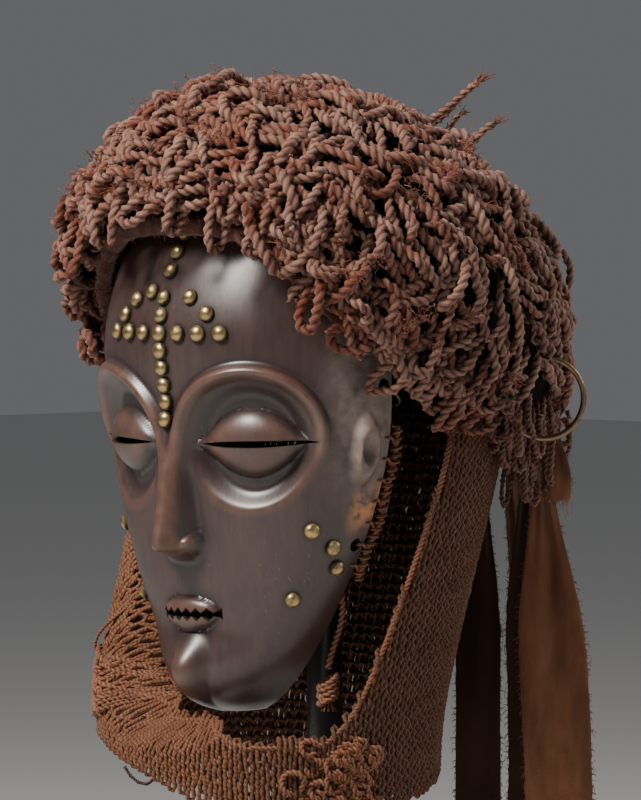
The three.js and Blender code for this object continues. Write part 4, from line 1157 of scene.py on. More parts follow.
def edge_roots(rng):
    """Turn and depth of the loops that cover the thick lower edge over the face and at its sides."""
    roots = []
    for depth, step in EDGE_ROWS:
        for turn in np.arange(-180, 180, step):
            if depth < 0.6 or abs(turn) > 34:
                roots.append((turn + rng.uniform(-1.5, 1.5), depth + rng.uniform(-0.08, 0.08)))
    return np.array(roots)


def edge_hairpins(roots, rng, thickness, reach):
    """Short loops that hang over the lower edge, bent outwards or along it."""
    turn, depth = roots[:, 0], roots[:, 1]
    count = len(roots)
    here = coiffure_points(turn, 0.0, depth)
    outer = unit(here - coiffure_points(turn, 0.0, depth + 0.1))
    aside = unit(coiffure_points(turn + 0.5, 0.0, depth) - here)
    under = unit(np.cross(aside, outer))
    under = np.where(under[:, 2:] > 0, -under, under)
    swing = rng.choice([-1.0, 1.0], count) * np.clip(rng.normal(1.6, 0.6, count), 1.15, 2.6)
    ahead = unit(swung(swing, outer, aside))
    return bent_loops(here - under * 2.0, ahead, under, rng, thickness, reach * rng.uniform(0.5, 0.8, count),
                      rng.uniform(-1.5, 1.0, count))


def coiffure_loops():
    """The loops in four pieces: front, left, back and right."""
    hair = bpy.context.scene.mask_coiffure
    rng = np.random.default_rng(11)
    top_roots, low_roots = loop_roots(rng), edge_roots(rng)
    routes = np.concatenate([hairpins(top_roots, rng, hair.cord, hair.reach),
                             edge_hairpins(low_roots, rng, 0.9 * hair.cord, hair.reach)])
    turn = np.concatenate([top_roots[:, 0], low_roots[:, 0] % 360])
    climb = np.concatenate([top_roots[:, 1], 0 * low_roots[:, 1]])
    count = len(turn)
    tone = rng.uniform(0.2, 1.0, count)
    low = np.interp(np.linspace(0, 1, LOOP_STEPS + 1), np.linspace(0, 1, len(LOOP_SHAPE)),
                    np.array([-high for _, _, high in LOOP_SHAPE]) / 9)
    front = 0.5 + 0.5 * np.cos(np.radians(turn + 20))
    red = np.clip(0.1 + 0.5 * front + rng.normal(0, 0.35, count), 0, 1)
    ochre = np.clip(0.75 * red[:, None] + 0.7 * low[None, :], 0, 1)
    # Painted shade: each loop darkens where it dips towards the cap between its neighbours.
    sunk = np.clip(1.15 * low - 0.12, 0, 1)
    phase = rng.uniform(0, TAU, count)
    by_ring = (turn > RING_TURNS[0]) & (turn < RING_TURNS[1]) & (routes[..., 2].min(axis=1) < RING_TOP)
    fine = ease(np.cos(np.radians(turn - 145)), 0.1, 0.8) * (1 - ease(climb, 0.25, 0.5))
    thickness = hair.cord * rng.uniform(0.86, 1.12, count) * (1 - 0.22 * fine)
    for label, first, last in REGIONS:
        chosen = ((turn - first) % 360 < (last - first)) & ~by_ring
        block = cord_mesh(routes[chosen], LOOP_STEPS, thickness[chosen], hair.lay, phase=phase[chosen],
                          ochre=ochre[chosen], tone=tone[chosen], sunk=sunk[None])
        piece = new_piece(f"coiffure_loops_{label}", *block)
        finish_piece(piece, "coiffure cord", "coiffure")


def brim_middle(turn):
    """The middle of the stuffed roll at a turn from the front."""
    depth = 1 - (BRIM_DIAMETER / 2 - BRIM_PRESS) / coiffure_wall(turn, 0)
    return coiffure_points(turn, 0, depth) - np.array([0, 0, BRIM_DROP])


def coiffure_brim():
    """The stuffed roll along the front edge, under the loops."""
    rng = np.random.default_rng(5)
    steps, lumps = 200, 60
    share = np.linspace(0, 1, steps + 1)
    lumpy = np.interp(share * lumps, np.arange(lumps + 1), rng.normal(0, 0.05, lumps + 1))
    taper = (0.72 + 0.28 * np.sin(math.pi * share)) * (1 + lumpy)
    route = brim_middle(np.linspace(-BRIM_REACH, BRIM_REACH, 15))
    points, *rest = cord_mesh(route[None], steps, BRIM_DIAMETER, 0, section=np.ones(20), taper=taper, tone=1)
    piece = new_piece("coiffure_brim", points + rng.normal(0, 0.22, points.shape), *rest)
    outward(piece)
    finish_piece(piece, "brim felt", "coiffure")


def coiffure_tassels():
    """Longer cords in a bunch behind the left ear."""
    rng = np.random.default_rng(19)
    turn = rng.uniform(100, 168, TASSELS)
    top = coiffure_points(turn, rng.uniform(0.0, 0.06, TASSELS), rng.uniform(0.1, 0.8, TASSELS))
    longest = 14 + 32 * np.exp(-((turn - 128) / 17) ** 2)
    fall = longest * rng.uniform(0.35, 1.0, TASSELS)
    beside = np.stack([rng.normal(0, 1.5, TASSELS), rng.normal(0, 1.5, TASSELS), np.zeros(TASSELS)], axis=-1)
    routes = []
    for down, out in TASSEL_SHAPE:
        drop = np.full(TASSELS, down) if abs(down) > 1.2 else down * fall
        knotty = np.concatenate([rng.normal(0, 0.9, (TASSELS, 2)), np.zeros((TASSELS, 1))], axis=1)
        routes.append(top + beside * out + knotty - UP * drop[:, None])
    ochre, tone = rng.uniform(0.2, 0.9, TASSELS), rng.uniform(0, 0.5, TASSELS)
    # The tassels hang in shadow and get an even painted shade.
    block = cord_mesh(np.stack(routes, axis=1), LOOP_STEPS, rng.uniform(2.6, 3.8, TASSELS), TASSEL_LAY,
                      phase=rng.uniform(0, TAU, TASSELS), ochre=ochre, tone=tone, sunk=0.35)
    finish_piece(new_piece("coiffure_tassels", *block), "coiffure cord", "coiffure")


def coiffure_strands():
    """Frayed ends of twisted cord that stand up from the crown at the back."""
    rng = np.random.default_rng(29)
    blocks = []
    t = np.linspace(0, 1, 8)[:, None]
    for turn, climb, across, rise in STRANDS:
        out = heading(turn)
        wave = 1.8 * np.sin(7 * t + turn) * np.cross(out, UP) + 1.6 * np.cos(6 * t + climb) * UP
        path = coiffure_points(turn, climb, 0.3) + across * t * out + rise * t ** 1.2 * UP
        path = path + wave * (0.3 + 0.7 * t)
        blocks.append(cord_mesh(path[None], 50, STRAND, STRAND_LAY, taper=np.linspace(1.0, 0.7, 51),
                                ochre=0.25, tone=0.7))
        tip, ahead = path[-1], unit(path[-1] - path[-2])
        for _ in range(STRAND_ENDS):
            aside = rng.normal(0, 1, 3)
            route = [tip - ahead * 4, tip + ahead * 1.5 + 0.4 * aside, tip + ahead * 5 + 1.6 * aside]
            blocks.append(cord_mesh([route], 8, 0.9, 0, section=ROUND_YARN, taper=np.linspace(1, 0.4, 9),
                                    ochre=0.4, tone=0.7))
    finish_piece(new_piece("coiffure_strands", *gather(blocks)), "coiffure cord", "coiffure")


def coiffure_fluff():
    """Tufts of unspun fibre between the loops, and short hairs on the front roll."""
    rng = np.random.default_rng(37)
    routes = []
    tufts = [(turn, climb, TUFT_SIZE) for turn, climb in TUFTS]
    tufts += [(rng.uniform(-75, 130), rng.uniform(0.02, 0.75), SMALL_TUFT_SIZE) for _ in range(SMALL_TUFTS)]
    for turn, climb, size in tufts:
        here, down, across, out = (row[0] for row in surface_frames(np.array([turn]), np.array([climb])))
        main = unit(down * rng.normal(0, 1) + across * rng.normal(0, 1))
        for _ in range(int(12 * size)):
            start = here - out * rng.uniform(0, 6) + rng.normal(0, size, 3)
            lean = unit(main + 0.8 * rng.normal(0, 1, 3) + 0.4 * out)
            reach = rng.uniform(3, 8)
            routes.append([start, start + lean * 0.5 * reach + rng.normal(0, 0.7, 3) + 0.8 * out,
                           start + lean * reach + rng.normal(0, 1.0, 3)])
    for _ in range(BRIM_HAIRS):
        middle = brim_middle(rng.uniform(2 - BRIM_REACH, BRIM_REACH - 2))
        lean = unit(rng.normal(0, 1, 3))
        start = middle + lean * 0.4 * BRIM_DIAMETER
        routes.append([start, start + lean * 1.2, start + lean * 1.8 + rng.normal(0, 0.9, 3)])
    block = cord_mesh(routes, 3, HAIR_THICKNESS, 0, section=HAIR, taper=[1.0, 1.0, 0.8, 0.3],
                      tone=rng.uniform(0, 1, len(routes)))
    finish_piece(new_piece("coiffure_fluff", *block), "matted fibre", "coiffure")


class MASK_OT_coiffure(bpy.types.Operator):
    """Sews the coiffure: cap, cord loops, stuffed brim, hanging bunch and frayed ends"""
    bl_idname = "mask.coiffure"
    bl_label = "Corded coiffure"

    def execute(self, context):
        coiffure_cap()
        coiffure_loops()
        coiffure_brim()
        coiffure_tassels()
        coiffure_strands()
        coiffure_fluff()
        return {"FINISHED"}


# Net collar

NET_DROP, NET_SLANT, NET_DIP, NET_FRONT_DROP = 26.5, 13.6, 7.5, 12.0
NET_TOP_REACH, NET_THICKNESS, NET_OFF_RIM = 0.92, 3.0, 2.1
STITCH_STEPS = 8
DARNS, DARN_TURN, DARN_HEIGHT = 34, -34, 180
KNOTS, KNOT_TURN = 46, 71
NET_SAG, NET_SAG_TURN, NET_SAG_SPREAD = 11.0, 268.0, 30.0
NET_CHIN_DROP = 1.5

net_middle_x = curve_through([(-0.16, -0.042), (0.01, -0.042), (0.45, -0.013), (0.56, -0.008)])
net_middle_y = curve_through([(-0.16, -0.11), (0.01, -0.106), (0.45, -0.038), (0.56, -0.025)])
net_half_x = curve_through([(-0.16, 0.309), (0.01, 0.322), (0.45, 0.373), (0.56, 0.377)])
net_half_y = curve_through([(-0.16, 0.322), (0.01, 0.331), (0.45, 0.339), (0.56, 0.347)])
net_climb = curve_through([
    (-180, 1), (-76, 1), (-66, 0.75), (-56, 0.5), (-40, 0.24), (-28, 0.12), (-12, 0.04), (0, 0), (56, 0),
    (68, 0.03), (77, 0.16), (83, 0.42), (88, 0.8), (92, 1), (180, 1)])
net_rim_share = curve_through([(-66, 0.42), (-56, 0.28), (-40, 0.12), (-28, 0.03)])


def net_bottom(turn):
    """The height of the net's lower edge, slanted, waved and sagging at the right."""
    face = bpy.context.scene.mask_face
    turn = np.asarray(turn, float)
    slant = NET_SLANT * np.cos(np.radians(turn - 98)) + NET_DIP * np.cos(np.radians(2 * turn - 88))
    sag = NET_SAG * np.exp(-((turn % 360 - NET_SAG_TURN) / NET_SAG_SPREAD) ** 2)
    return face.bottom - NET_DROP - slant - sag


def under_chin(away):
    """How far the net is drawn in under the chin at a turn, from 0 to 1."""
    return ease(away, -52, -30) * (1 - ease(away, 20, 38))


def net_top(turn):
    """The height of the net's upper edge, the coiffure above it and the turn from -180 to 180."""
    face = bpy.context.scene.mask_face
    away = (np.asarray(turn, float) + 540) % 360 - 180
    head = coiffure_points(turn, 0.06, NET_TOP_REACH)
    top = mixed(face.bottom - NET_FRONT_DROP, head[..., 2], np.clip(net_climb(away), 0, 1))
    top = np.maximum(top, mixed(top, face.bottom - NET_CHIN_DROP, under_chin(away)))
    return top, head, away


def net_points(turn, height, offset=0.0):
    """Points of the net at a turn and a height, so far out from its middle surface."""
    face = bpy.context.scene.mask_face
    turn, height = np.broadcast_arrays(np.asarray(turn, float), np.asarray(height, float))
    top, head, away = net_top(turn)
    share = (height - net_bottom(turn)) / np.maximum(top - net_bottom(turn), 1e-6)
    out = heading(turn)
    rise = (height - face.bottom) / face.height
    body = np.stack([face.height * (net_middle_x(rise) + net_half_x(rise) * out[..., 0]),
                     face.height * (net_middle_y(rise) + net_half_y(rise) * out[..., 1]), height], axis=-1)
    pull = ease((height - 0.5 * (head[..., 2] + face.bottom + 0.4 * face.height))
                / (0.5 * (head[..., 2] - face.bottom - 0.4 * face.height)), 0, 1)
    flat_head = np.stack([head[..., 0], head[..., 1], height], axis=-1)
    body = mixed(body, flat_head, pull[..., None])
    rim_share = net_rim_share(away)
    laced = lean_face(np.stack([-half_width(rim_share) * face.height - 0.5 * NET_THICKNESS - NET_OFF_RIM,
                                -rim_reach(rim_share) * face.height, level(rim_share)], axis=-1))
    right_front = ease(away, -76, -66) * (1 - ease(away, -28, -6))
    body = mixed(body, laced, (ease(share, 0.45, 1) * right_front)[..., None])
    chin = np.stack([0 * height, 0 * height - 0.27 * face.height, height], axis=-1)
    drawn = 0.5 * ease(height, face.bottom - 15, face.bottom) * under_chin(away) * (1 - right_front)
    body = mixed(body, chin, drawn[..., None])
    return body + out * np.asarray(offset, float)[..., None]


def net_row(row, first, last, wales, rng):
    """One row of interlocked stitches between two wales, as the route of its yarn."""
    yarn = bpy.context.scene.mask_net
    count = last - first
    t = np.arange(count * STITCH_STEPS + 1) / STITCH_STEPS
    marks, phase = np.arange(count + 1), TAU * t
    uneven = np.interp(t, marks, rng.normal(0, 0.09, count + 1))
    across = first + t + 0.19 * np.sin(2 * phase) + uneven
    turn = 360 * across / wales
    stretched = ease(np.cos(np.radians(turn + 40)), 0.1, 0.8)
    tall = mixed(1.16, 0.92, stretched) * (1 + np.interp(t, marks, rng.normal(0, 0.08, count + 1)))
    height = net_bottom(turn) + yarn.row * (row + 0.5 - tall * np.cos(phase)
                                          + mixed(0.25, 0.45, stretched) * np.sin(phase) + uneven)
    out = -mixed(0.85, 0.5, stretched) * yarn.yarn * np.cos(2 * phase)
    out += mixed(0.35, 0.15, stretched) * yarn.yarn * np.cos(phase)
    points = net_points(turn, height, out)
    return points + rng.normal(0, 0.1, points.shape)


def net_edge(rng):
    """The doubled cord worked along the upper edge, from the right rim to the left side."""
    turn = np.linspace(-76, 100, 120)
    cords = []
    for side in (-0.8, 0.8):
        height = net_top(turn)[0] - 1.5 + side + rng.normal(0, 0.3, len(turn))
        cords.append(net_points(turn, height, 0.4 + 0.5 * side))
    return np.array(cords)


def net_patch(rng):
    """Darning: short doubled cords that cross a torn place of the right front."""
    routes = []
    t = np.linspace(-1, 1, 7)
    for _ in range(DARNS):
        turn, height = DARN_TURN + rng.uniform(-13, 13), DARN_HEIGHT + rng.uniform(-11, 11)
        lean = rng.choice([-1.0, 1.0]) * rng.uniform(0.3, 1.0)
        bend = rng.uniform(-2, 2) * (1 - t * t)
        routes.append(net_points(turn + 6 * t, height + 6 * lean * t + bend, 1.4 + 2.0 * (1 - t ** 4)))
    return np.array(routes)


def net_bunch(rng):
    """Knotted loops where the free edge meets the lower edge at the left front."""
    routes = []
    for _ in range(KNOTS):
        turn, out = KNOT_TURN + rng.normal(0, 6), rng.uniform(0.5, 4.5)
        height = float(net_bottom(turn)) + rng.uniform(2, 31)
        angle = np.linspace(0, 1.7 * math.pi, 7) + rng.uniform(0, TAU)
        size = rng.uniform(2.4, 5.2)
        routes.append(net_points(turn + size * 0.72 * np.cos(angle), height + size * np.sin(angle),
                                 out + 1.2 * np.sin(2 * angle)))
    return np.array(routes)


def net_hook():
    """A dark hooked end of cord under the lower edge of the right front."""
    turn = np.array([4.0, 3.0, 0.0, -5.0, -10.0, -13.0])
    return net_points(turn, net_bottom(turn) + np.array([5.0, 0.0, -5.0, -7.5, -7.0, -5.0]), 0.6)[None]


def net_loose_loop():
    """A thin loop of cord that has come loose at the right side."""
    t = np.linspace(0, 1, 9)
    return net_points(-52 + 5 * np.sin(3 * t), 222 - 32 * t, 1 + 7 * np.sin(math.pi * t) ** 0.7)[None]


def worked_runs(worked, low, high):
    """First and last wale of each unbroken stretch of a row, between two wales."""
    marks = np.flatnonzero(np.diff(np.concatenate([[0], worked[low:high].astype(int), [0]])))
    return [(low + first, low + last) for first, last in marks.reshape(-1, 2)]


class MASK_OT_net(bpy.types.Operator):
    """Loops the net collar from yarn, row by row, up to the coiffure and the right rim"""
    bl_idname = "mask.net"
    bl_label = "Net collar"

    def execute(self, context):
        yarn = context.scene.mask_net
        rng = np.random.default_rng(23)
        ring = net_points(np.linspace(0, 360, 181), 200.0)
        wales = int(np.linalg.norm(np.diff(ring, axis=0), axis=1).sum() / yarn.wale)
        turn = 360 * (np.arange(wales) + 0.5) / wales
        room = net_top(turn)[0] - net_bottom(turn)
        for label, low, high in (("left", 0, wales // 2), ("right", wales // 2, wales)):
            blocks = []
            for row in range(int(room.max() / yarn.row)):
                for first, last in worked_runs(room > yarn.row * (row + 0.7), low, high):
                    route = net_row(row, first, last, wales, rng)
                    # Painted shade that grows from the front towards the back and far side of the collar;
                    # worn is only the turn round the collar, in radians, not wear.
                    worn = TAU * np.linspace(first, last, len(route)) / wales
                    sunk = 0.1 + 0.5 * ease(-np.cos(worn + 0.5), -0.75, 0.2)
                    blocks.append(yarn_mesh(route, yarn.yarn, ochre=rng.uniform(0.0, 0.5, 1),
                                            tone=rng.uniform(0.1, 0.5, 1), sunk=sunk[None]))
            finish_piece(new_piece(f"net_{label}", *gather(blocks)), "net yarn", "net_collar")
        self.mends(rng)
        return {"FINISHED"}

    def mends(self, rng):
        """The edge cord, the darned patch, the knotted bunch, the loose loop and the hook."""
        blocks = []
        # The last value of each is painted shade: a little on the edge cord and the loose loop, full on the
        # hook.
        mends = ((net_edge(rng), 420, 2.8, 0.15), (net_patch(rng), 22, 3.0, 0.0),
                 (net_bunch(rng), 26, 3.0, 0.0), (net_loose_loop(), 40, 2.0, 0.1), (net_hook(), 20, 2.2, 1.0))
        for routes, steps, thickness, sunk in mends:
            count = len(routes)
            ochre, tone = rng.uniform(0.2, 0.8, count), rng.uniform(0.1, 0.6, count)
            phase = rng.uniform(0, TAU, count)
            blocks.append(cord_mesh(routes, steps, thickness, 1.7 * thickness, phase=phase,
                                    ochre=ochre, tone=tone, sunk=sunk))
        finish_piece(new_piece("net_mends", *gather(blocks)), "rust cord", "net_collar")


# Rings, lacing and free cord

FREE_CORD, FREE_CORD_LAY = 3.2, 5.4
CORD_OFFSETS = [(0, 0, 0), (-0.4, 0.8, -6), (-1.2, 0.6, -13), (-2.8, -0.6, -20), (-4.6, -2, -27),
                (-5.6, -3, -33)]
KNOT_TURNS, KNOT_ENDS = 5, 9
LACING, LACING_OUT, LACING_SWING = 5.0, 2.5, 1.5
LACING_GAP = LACING / 2 + 2.4
LACING_SHARES = (0.54, 0.48, 0.42, 0.36, 0.3, 0.25)
WRAP, WRAP_TURNS, WRAP_STEPS = 1.5, 21, 400
STITCH = 1.8
# Name, node, diameter, wire thickness, finish and slot of each ring
RINGS = (("bronze_ring", "hair_ring", 39.0, 2.6, "bronze", "ring_bronze"),
         ("wire_ring", "ear_ring", 15.0, 1.6, "dark wire", "ear_wire"))
RING_STEPS, WIRE_SIDES = 64, 12


class MASK_OT_free_cord(bpy.types.Operator):
    """Hangs the free two-ply cord from the lower left rim, with its frayed knot"""
    bl_idname = "mask.free_cord"
    bl_label = "Free cord and knot"

    def execute(self, context):
        start = by_rim(0.22, FREE_CORD)
        route = start + np.array(CORD_OFFSETS, float)
        steps = 70
        middles, lengths = through(route[None], steps)
        block = cord_mesh(route[None], steps, FREE_CORD, FREE_CORD_LAY, ochre=0.3, tone=0.5)
        cord = finish_piece(new_piece("loose_cord", *block), "rust cord", "free_cord")
        knot = self.knot(route[-1] - np.array([0, 0, 0.3]))
        finish_piece(knot, "rust cord", "cord_knot")
        return {"FINISHED"}

    def knot(self, top):
        """A ball of turns with loose frayed ends below."""
        rng = np.random.default_rng(31)
        blocks = []
        t = np.linspace(0, TAU, 14)
        for n in range(KNOT_TURNS):
            tilt = rng.uniform(-0.7, 0.7, 2)
            ring = np.stack([4.3 * np.cos(t), 3.9 * np.sin(t), 2.6 * np.sin(t + tilt[0]) + tilt[1]], axis=-1)
            middle = top + np.array([0, 0, -4.6 - 2.0 * n])
            blocks.append(cord_mesh((middle + ring)[None], 40, 2.9, 5.2, phase=n, ochre=0.35, tone=0.4))
        start = top + np.array([0, 0, -12.0])
        for angle in TAU * np.arange(KNOT_ENDS) / KNOT_ENDS:
            lean = np.array([math.cos(angle), math.sin(angle), 0])
            route = [start, start + lean * 1.8 + [0, 0, -3],
                     start + lean * (2.6 + rng.uniform(0, 1.4)) + [0, 0, -6.6]]
            blocks.append(cord_mesh([route], 8, 1.1, 0, section=ROUND_YARN, ochre=0.5, tone=0.6))
        return new_piece("frayed_knot", *gather(blocks))


class MASK_OT_trim(bpy.types.Operator):
    """Adds the hanging ring, the ear ring and the lacing of the left rim"""
    bl_idname = "mask.trim"
    bl_label = "Rings and lacing"

    def execute(self, context):
        for ring in RINGS:
            self.ring(*ring)
        self.lacing()
        return {"FINISHED"}

    def lacing(self):
        """A cord along the left rim, wrapped and stitched down by a thinner one."""
        rng = np.random.default_rng(43)
        out = [LACING_OUT, 0, 0]
        route = np.array([by_rim(share, LACING_GAP + (i % 2) * LACING_SWING) + out
                          for i, share in enumerate(LACING_SHARES)])
        blocks = [cord_mesh(route[None], 110, 0.72 * LACING, 6.0, ochre=0.3, tone=0.5)]
        middles, _ = through(route[None], WRAP_STEPS)
        across, over = carried_frames(middles)
        turn = np.linspace(0, TAU * WRAP_TURNS, WRAP_STEPS + 1)
        turn = turn + 0.5 * np.sin(np.linspace(0, 31, WRAP_STEPS + 1))
        radius = 0.42 * LACING + rng.normal(0, 0.12, WRAP_STEPS + 1)
        wrap = middles[0] + radius[:, None] * swung(turn, across[0], over[0])
        blocks.append(yarn_mesh(wrap, WRAP, ochre=0.6, tone=0.4))
        for share in np.linspace(0.28, 0.52, 7):
            inside = by_rim(share, -3.0) + [RIM_WALL / 2 - 1.5, 0, 0]
            rim = by_rim(share, -2.0) + [RIM_WALL / 2 + 0.8, 0, 0]
            back = by_rim(share - 0.02, LACING_GAP + 1.0) + out
            stitch = [inside, rim, 0.5 * (rim + back) + np.array([0, 0, rng.uniform(1, 3)]), back]
            blocks.append(cord_mesh([stitch], 16, STITCH, 3.4, ochre=0.5, tone=0.4))
        finish_piece(new_piece("left_lacing", *gather(blocks)), "rust cord", "rim_lacing")

    def ring(self, name, node, diameter, wire, finish, slot):
        """A ring of bent wire in the plane of its solid."""
        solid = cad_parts[node]
        points = np.array([solid.matrix_world @ v.co for v in solid.data.vertices]) / MM
        middle = points.mean(axis=0)
        axes = np.linalg.svd(points - middle, full_matrices=False)[2]
        angle = TAU * np.arange(RING_STEPS) / RING_STEPS
        radius = (diameter - wire) / 2
        wave = 1 + 0.006 * np.sin(3 * angle + np.random.default_rng(len(name)).uniform(0, 6))
        centre = middle + radius * wave[:, None] * swung(angle, axes[0], axes[1])
        around = TAU * np.arange(WIRE_SIDES) / WIRE_SIDES
        grid = centre[:, None] + 0.5 * wire * swung(around[None], unit(centre - middle)[:, None], axes[2])
        index = np.arange(RING_STEPS * WIRE_SIDES).reshape(RING_STEPS, WIRE_SIDES)
        ahead, aside = np.roll(index, -1, axis=0), np.roll(index, -1, axis=1)
        quads = np.stack([index, ahead, np.roll(ahead, -1, axis=1), aside], axis=-1).reshape(-1, 4)
        piece = new_piece(name, grid.reshape(-1, 3), [quads])
        outward(piece)
        finish_piece(piece, finish, node)


# Cloth strips

CLOTH_WIDTH, CLOTH_LENGTH, CLOTH_TUCK = 27.0, 234.0, 12.0
STRIP_ROWS, STRIP_COLUMNS = 84, 22
THREADS, THREAD = 420, 0.22
STRIP_KEYS = ("name", "turn", "reach", "width", "length", "facing", "flare", "drift", "dark", "lit")
# dark is the strength of each strip's painted shade; lit takes that shade off one half of the strip.
STRIPS = [dict(zip(STRIP_KEYS, row)) for row in (
    ("strip_wide", 138, 0.2, 1, 1, 38, 1.15, 0.33, 0.0, 0.0),
    ("strip_frayed", 155, 0.2, 0.89, 0.95, 50, 1.1, 0.11, 0.95, 0.8),
    ("strip_narrow", 167, 0.16, 0.39, 0.54, 60, 0.9, 0.15, 0.4, 0.0),
    ("strip_dark", 179, 0.2, 0.7, 0.975, 40, 1.1, 0, 1.0, 0.0),
    ("strip_flap", 131, 0.1, 0.52, 0.185, 44, 0.7, 0.3, 0.1, 0.0),
)]


def strip_middle(strip, rng):
    """The middle surface of a strip: gathered at the top, with soft lengthwise folds and a ragged edge."""
    head = coiffure_points(strip["turn"], 0.0, strip["reach"]) + np.array([0, 0, CLOTH_TUCK])
    facing = math.radians(strip["facing"])
    across = np.array([math.cos(facing), math.sin(facing), 0])
    forward = np.array([-across[1], across[0], 0])
    foot = head[2] - strip["length"] * CLOTH_LENGTH
    t = np.linspace(0, 1, STRIP_ROWS)[:, None]
    s = np.linspace(-1, 1, STRIP_COLUMNS)[None, :]
    half = 0.5 * CLOTH_WIDTH * strip["width"] * mixed(0.3, strip["flare"], ease(t, 0.1, 0.5))
    ragged = 1 + 0.03 * np.cumsum(rng.normal(0, 0.3, t.shape), axis=0) / 3 + 0.01 * rng.normal(0, 1, t.shape)
    ragged = np.clip(ragged, 0.86, 1.1)
    sway = 2.5 * np.sin(2.2 * math.pi * t)
    soft = 0.9 * np.sin(5.2 * s + 3 * t + strip["turn"]) * ease(t, 0.0, 0.3)
    gathers = 1.4 * (1 - ease(t, 0.1, 0.45)) * np.sin(9 * s)
    fold = strip["width"] * (soft + gathers)
    drift = strip["drift"] * CLOTH_WIDTH * ease(t, 0, 0.8)
    height = mixed(head[2], foot, t) + np.where(t == 1, rng.normal(0, 1.6, s.shape), 0)
    middle = (head * np.array([1, 1, 0]) + across * (drift + half * ragged * s)[..., None]
              + forward * (sway + fold)[..., None] + UP * (height + 0 * s)[..., None])
    return middle, forward, half.mean() * s[0], t[:, 0] * (head[2] - foot)


def cloth_strip(strip, rng):
    """A thin strip with its weave laid out by its own width and length."""
    thickness = bpy.context.scene.mask_trim.cloth_thickness
    middle, forward, aside, fall = strip_middle(strip, rng)
    front, back = middle + forward * thickness / 2, middle - forward * thickness / 2
    points, (quads, caps) = ring_skin(np.concatenate([front, back[:, ::-1]], axis=1))
    shape = (STRIP_ROWS, 2 * STRIP_COLUMNS)
    u = np.broadcast_to(np.concatenate([aside, aside[::-1]]) / UV_STEP, shape)
    v = np.broadcast_to(fall[:, None] / UV_STEP, shape)
    flat = np.stack([u, v], axis=-1).reshape(-1, 2)
    uv = np.concatenate([flat[quads.reshape(-1)], flat[caps.reshape(-1)]])
    side = np.linspace(-1, 1, STRIP_COLUMNS)
    # Painted shade across the strip, taken off one side by the lit value, stored as the tone attribute.
    shading = strip["dark"] * (1 - strip["lit"] * ease(np.concatenate([side, side[::-1]]), -0.15, 0.25))
    piece = new_piece(f"cloth_{strip['name']}", points, [quads, caps], uv=uv,
                      values={"tone": np.broadcast_to(shading, shape)})
    outward(piece)
    finish_piece(piece, "cloth", strip["name"])
    fray = strip_fray(strip, middle, rng)


def strip_fray(strip, middle, rng):
    """Loose threads along the side edges and the lower end of a strip."""
    routes = []
    for _ in range(int(THREADS * strip["length"])):
        row, side = rng.integers(8, len(middle) - 1), rng.choice([0, -1])
        edge = middle[row, side]
        out = unit(edge - middle[row, 1 if side == 0 else -2])
        reach = 0.4 + 2.2 * rng.uniform(0, 1) ** 3
        routes.append([edge - out * 1.2, edge + out * 0.5 * reach + rng.normal(0, 0.3, 3),
                       edge + out * reach + [0, 0, rng.normal(-0.5, 1.0)]])
    for end in middle[-1, 1:-1]:
        drop = np.array([0, 0, -rng.uniform(3, 9)])
        routes.append([end - 0.3 * drop, end + 0.5 * drop + rng.normal(0, 0.6, 3),
                       end + drop + rng.normal(0, 1.0, 3)])
    # The loose threads get the strip's painted shade as their tone.
    block = cord_mesh(routes, 3, THREAD, 0, section=HAIR, tone=strip["dark"])
    return finish_piece(new_piece(f"fray_{strip['name']}", *block), "cloth", strip["name"])


class MASK_OT_strips(bpy.types.Operator):
    """Hangs the worn cloth strips from under the coiffure at the back"""
    bl_idname = "mask.strips"
    bl_label = "Cloth strips"

    def execute(self, context):
        rng = np.random.default_rng(41)
        for strip in STRIPS:
            cloth_strip(strip, rng)
        return {"FINISHED"}


# Stand

FOOT_ROUNDING, FOOT_SEGMENTS = 0.0022, 4
SHARP = math.radians(40)


class MASK_OT_stand(bpy.types.Operator):
    """Makes the square foot, the round post and the padded head support"""
    bl_idname = "mask.stand"
    bl_label = "Display stand"

    def execute(self, context):
        low, high = (Vector(corner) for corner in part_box("foot"))
        bpy.ops.object.select_all(action="DESELECT")
        bpy.ops.mesh.primitive_cube_add(size=1, location=(low + high) / 2)
        foot = context.object
        foot.name, foot.scale = "stand_foot", high - low
        bpy.ops.object.transform_apply(location=True, rotation=True, scale=True)
        apply_modifier(foot, "BEVEL", width=FOOT_ROUNDING, segments=FOOT_SEGMENTS)
        bpy.ops.object.shade_smooth_by_angle(angle=SHARP)
        finish_piece(foot, "stand", "foot")
        low, high = (Vector(corner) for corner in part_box("post"))
        bpy.ops.object.select_all(action="DESELECT")
        bpy.ops.mesh.primitive_cylinder_add(vertices=64, radius=(high - low)[0] / 2, depth=(high - low)[2],
                                            location=(low + high) / 2)
        post = context.object
        post.name = "stand_post"
        bpy.ops.object.transform_apply(location=True, rotation=True, scale=True)
        bpy.ops.object.shade_smooth_by_angle(angle=SHARP)
        finish_piece(post, "stand", "post")
        self.pad("head_support")
        return {"FINISHED"}

    def pad(self, node):
        """The padded head support: a copy of its solid with its doubles merged and its faces rounded."""
        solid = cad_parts[node]
        pad = bpy.data.objects.new("head_pad", solid.data.copy())
        pad.matrix_world = solid.matrix_world.copy()
        bpy.context.scene.collection.objects.link(pad)
        select_only(pad)
        bpy.ops.object.transform_apply(location=True, rotation=True, scale=True)
        bpy.ops.object.mode_set(mode="EDIT")
        bpy.ops.mesh.select_all(action="SELECT")
        bpy.ops.mesh.remove_doubles(threshold=0.00002)
        bpy.ops.object.mode_set(mode="OBJECT")
        apply_modifier(pad, "SUBSURF", levels=1, render_levels=1)
        bpy.ops.object.shade_smooth()
        finish_piece(pad, "felt", node)


# Stage

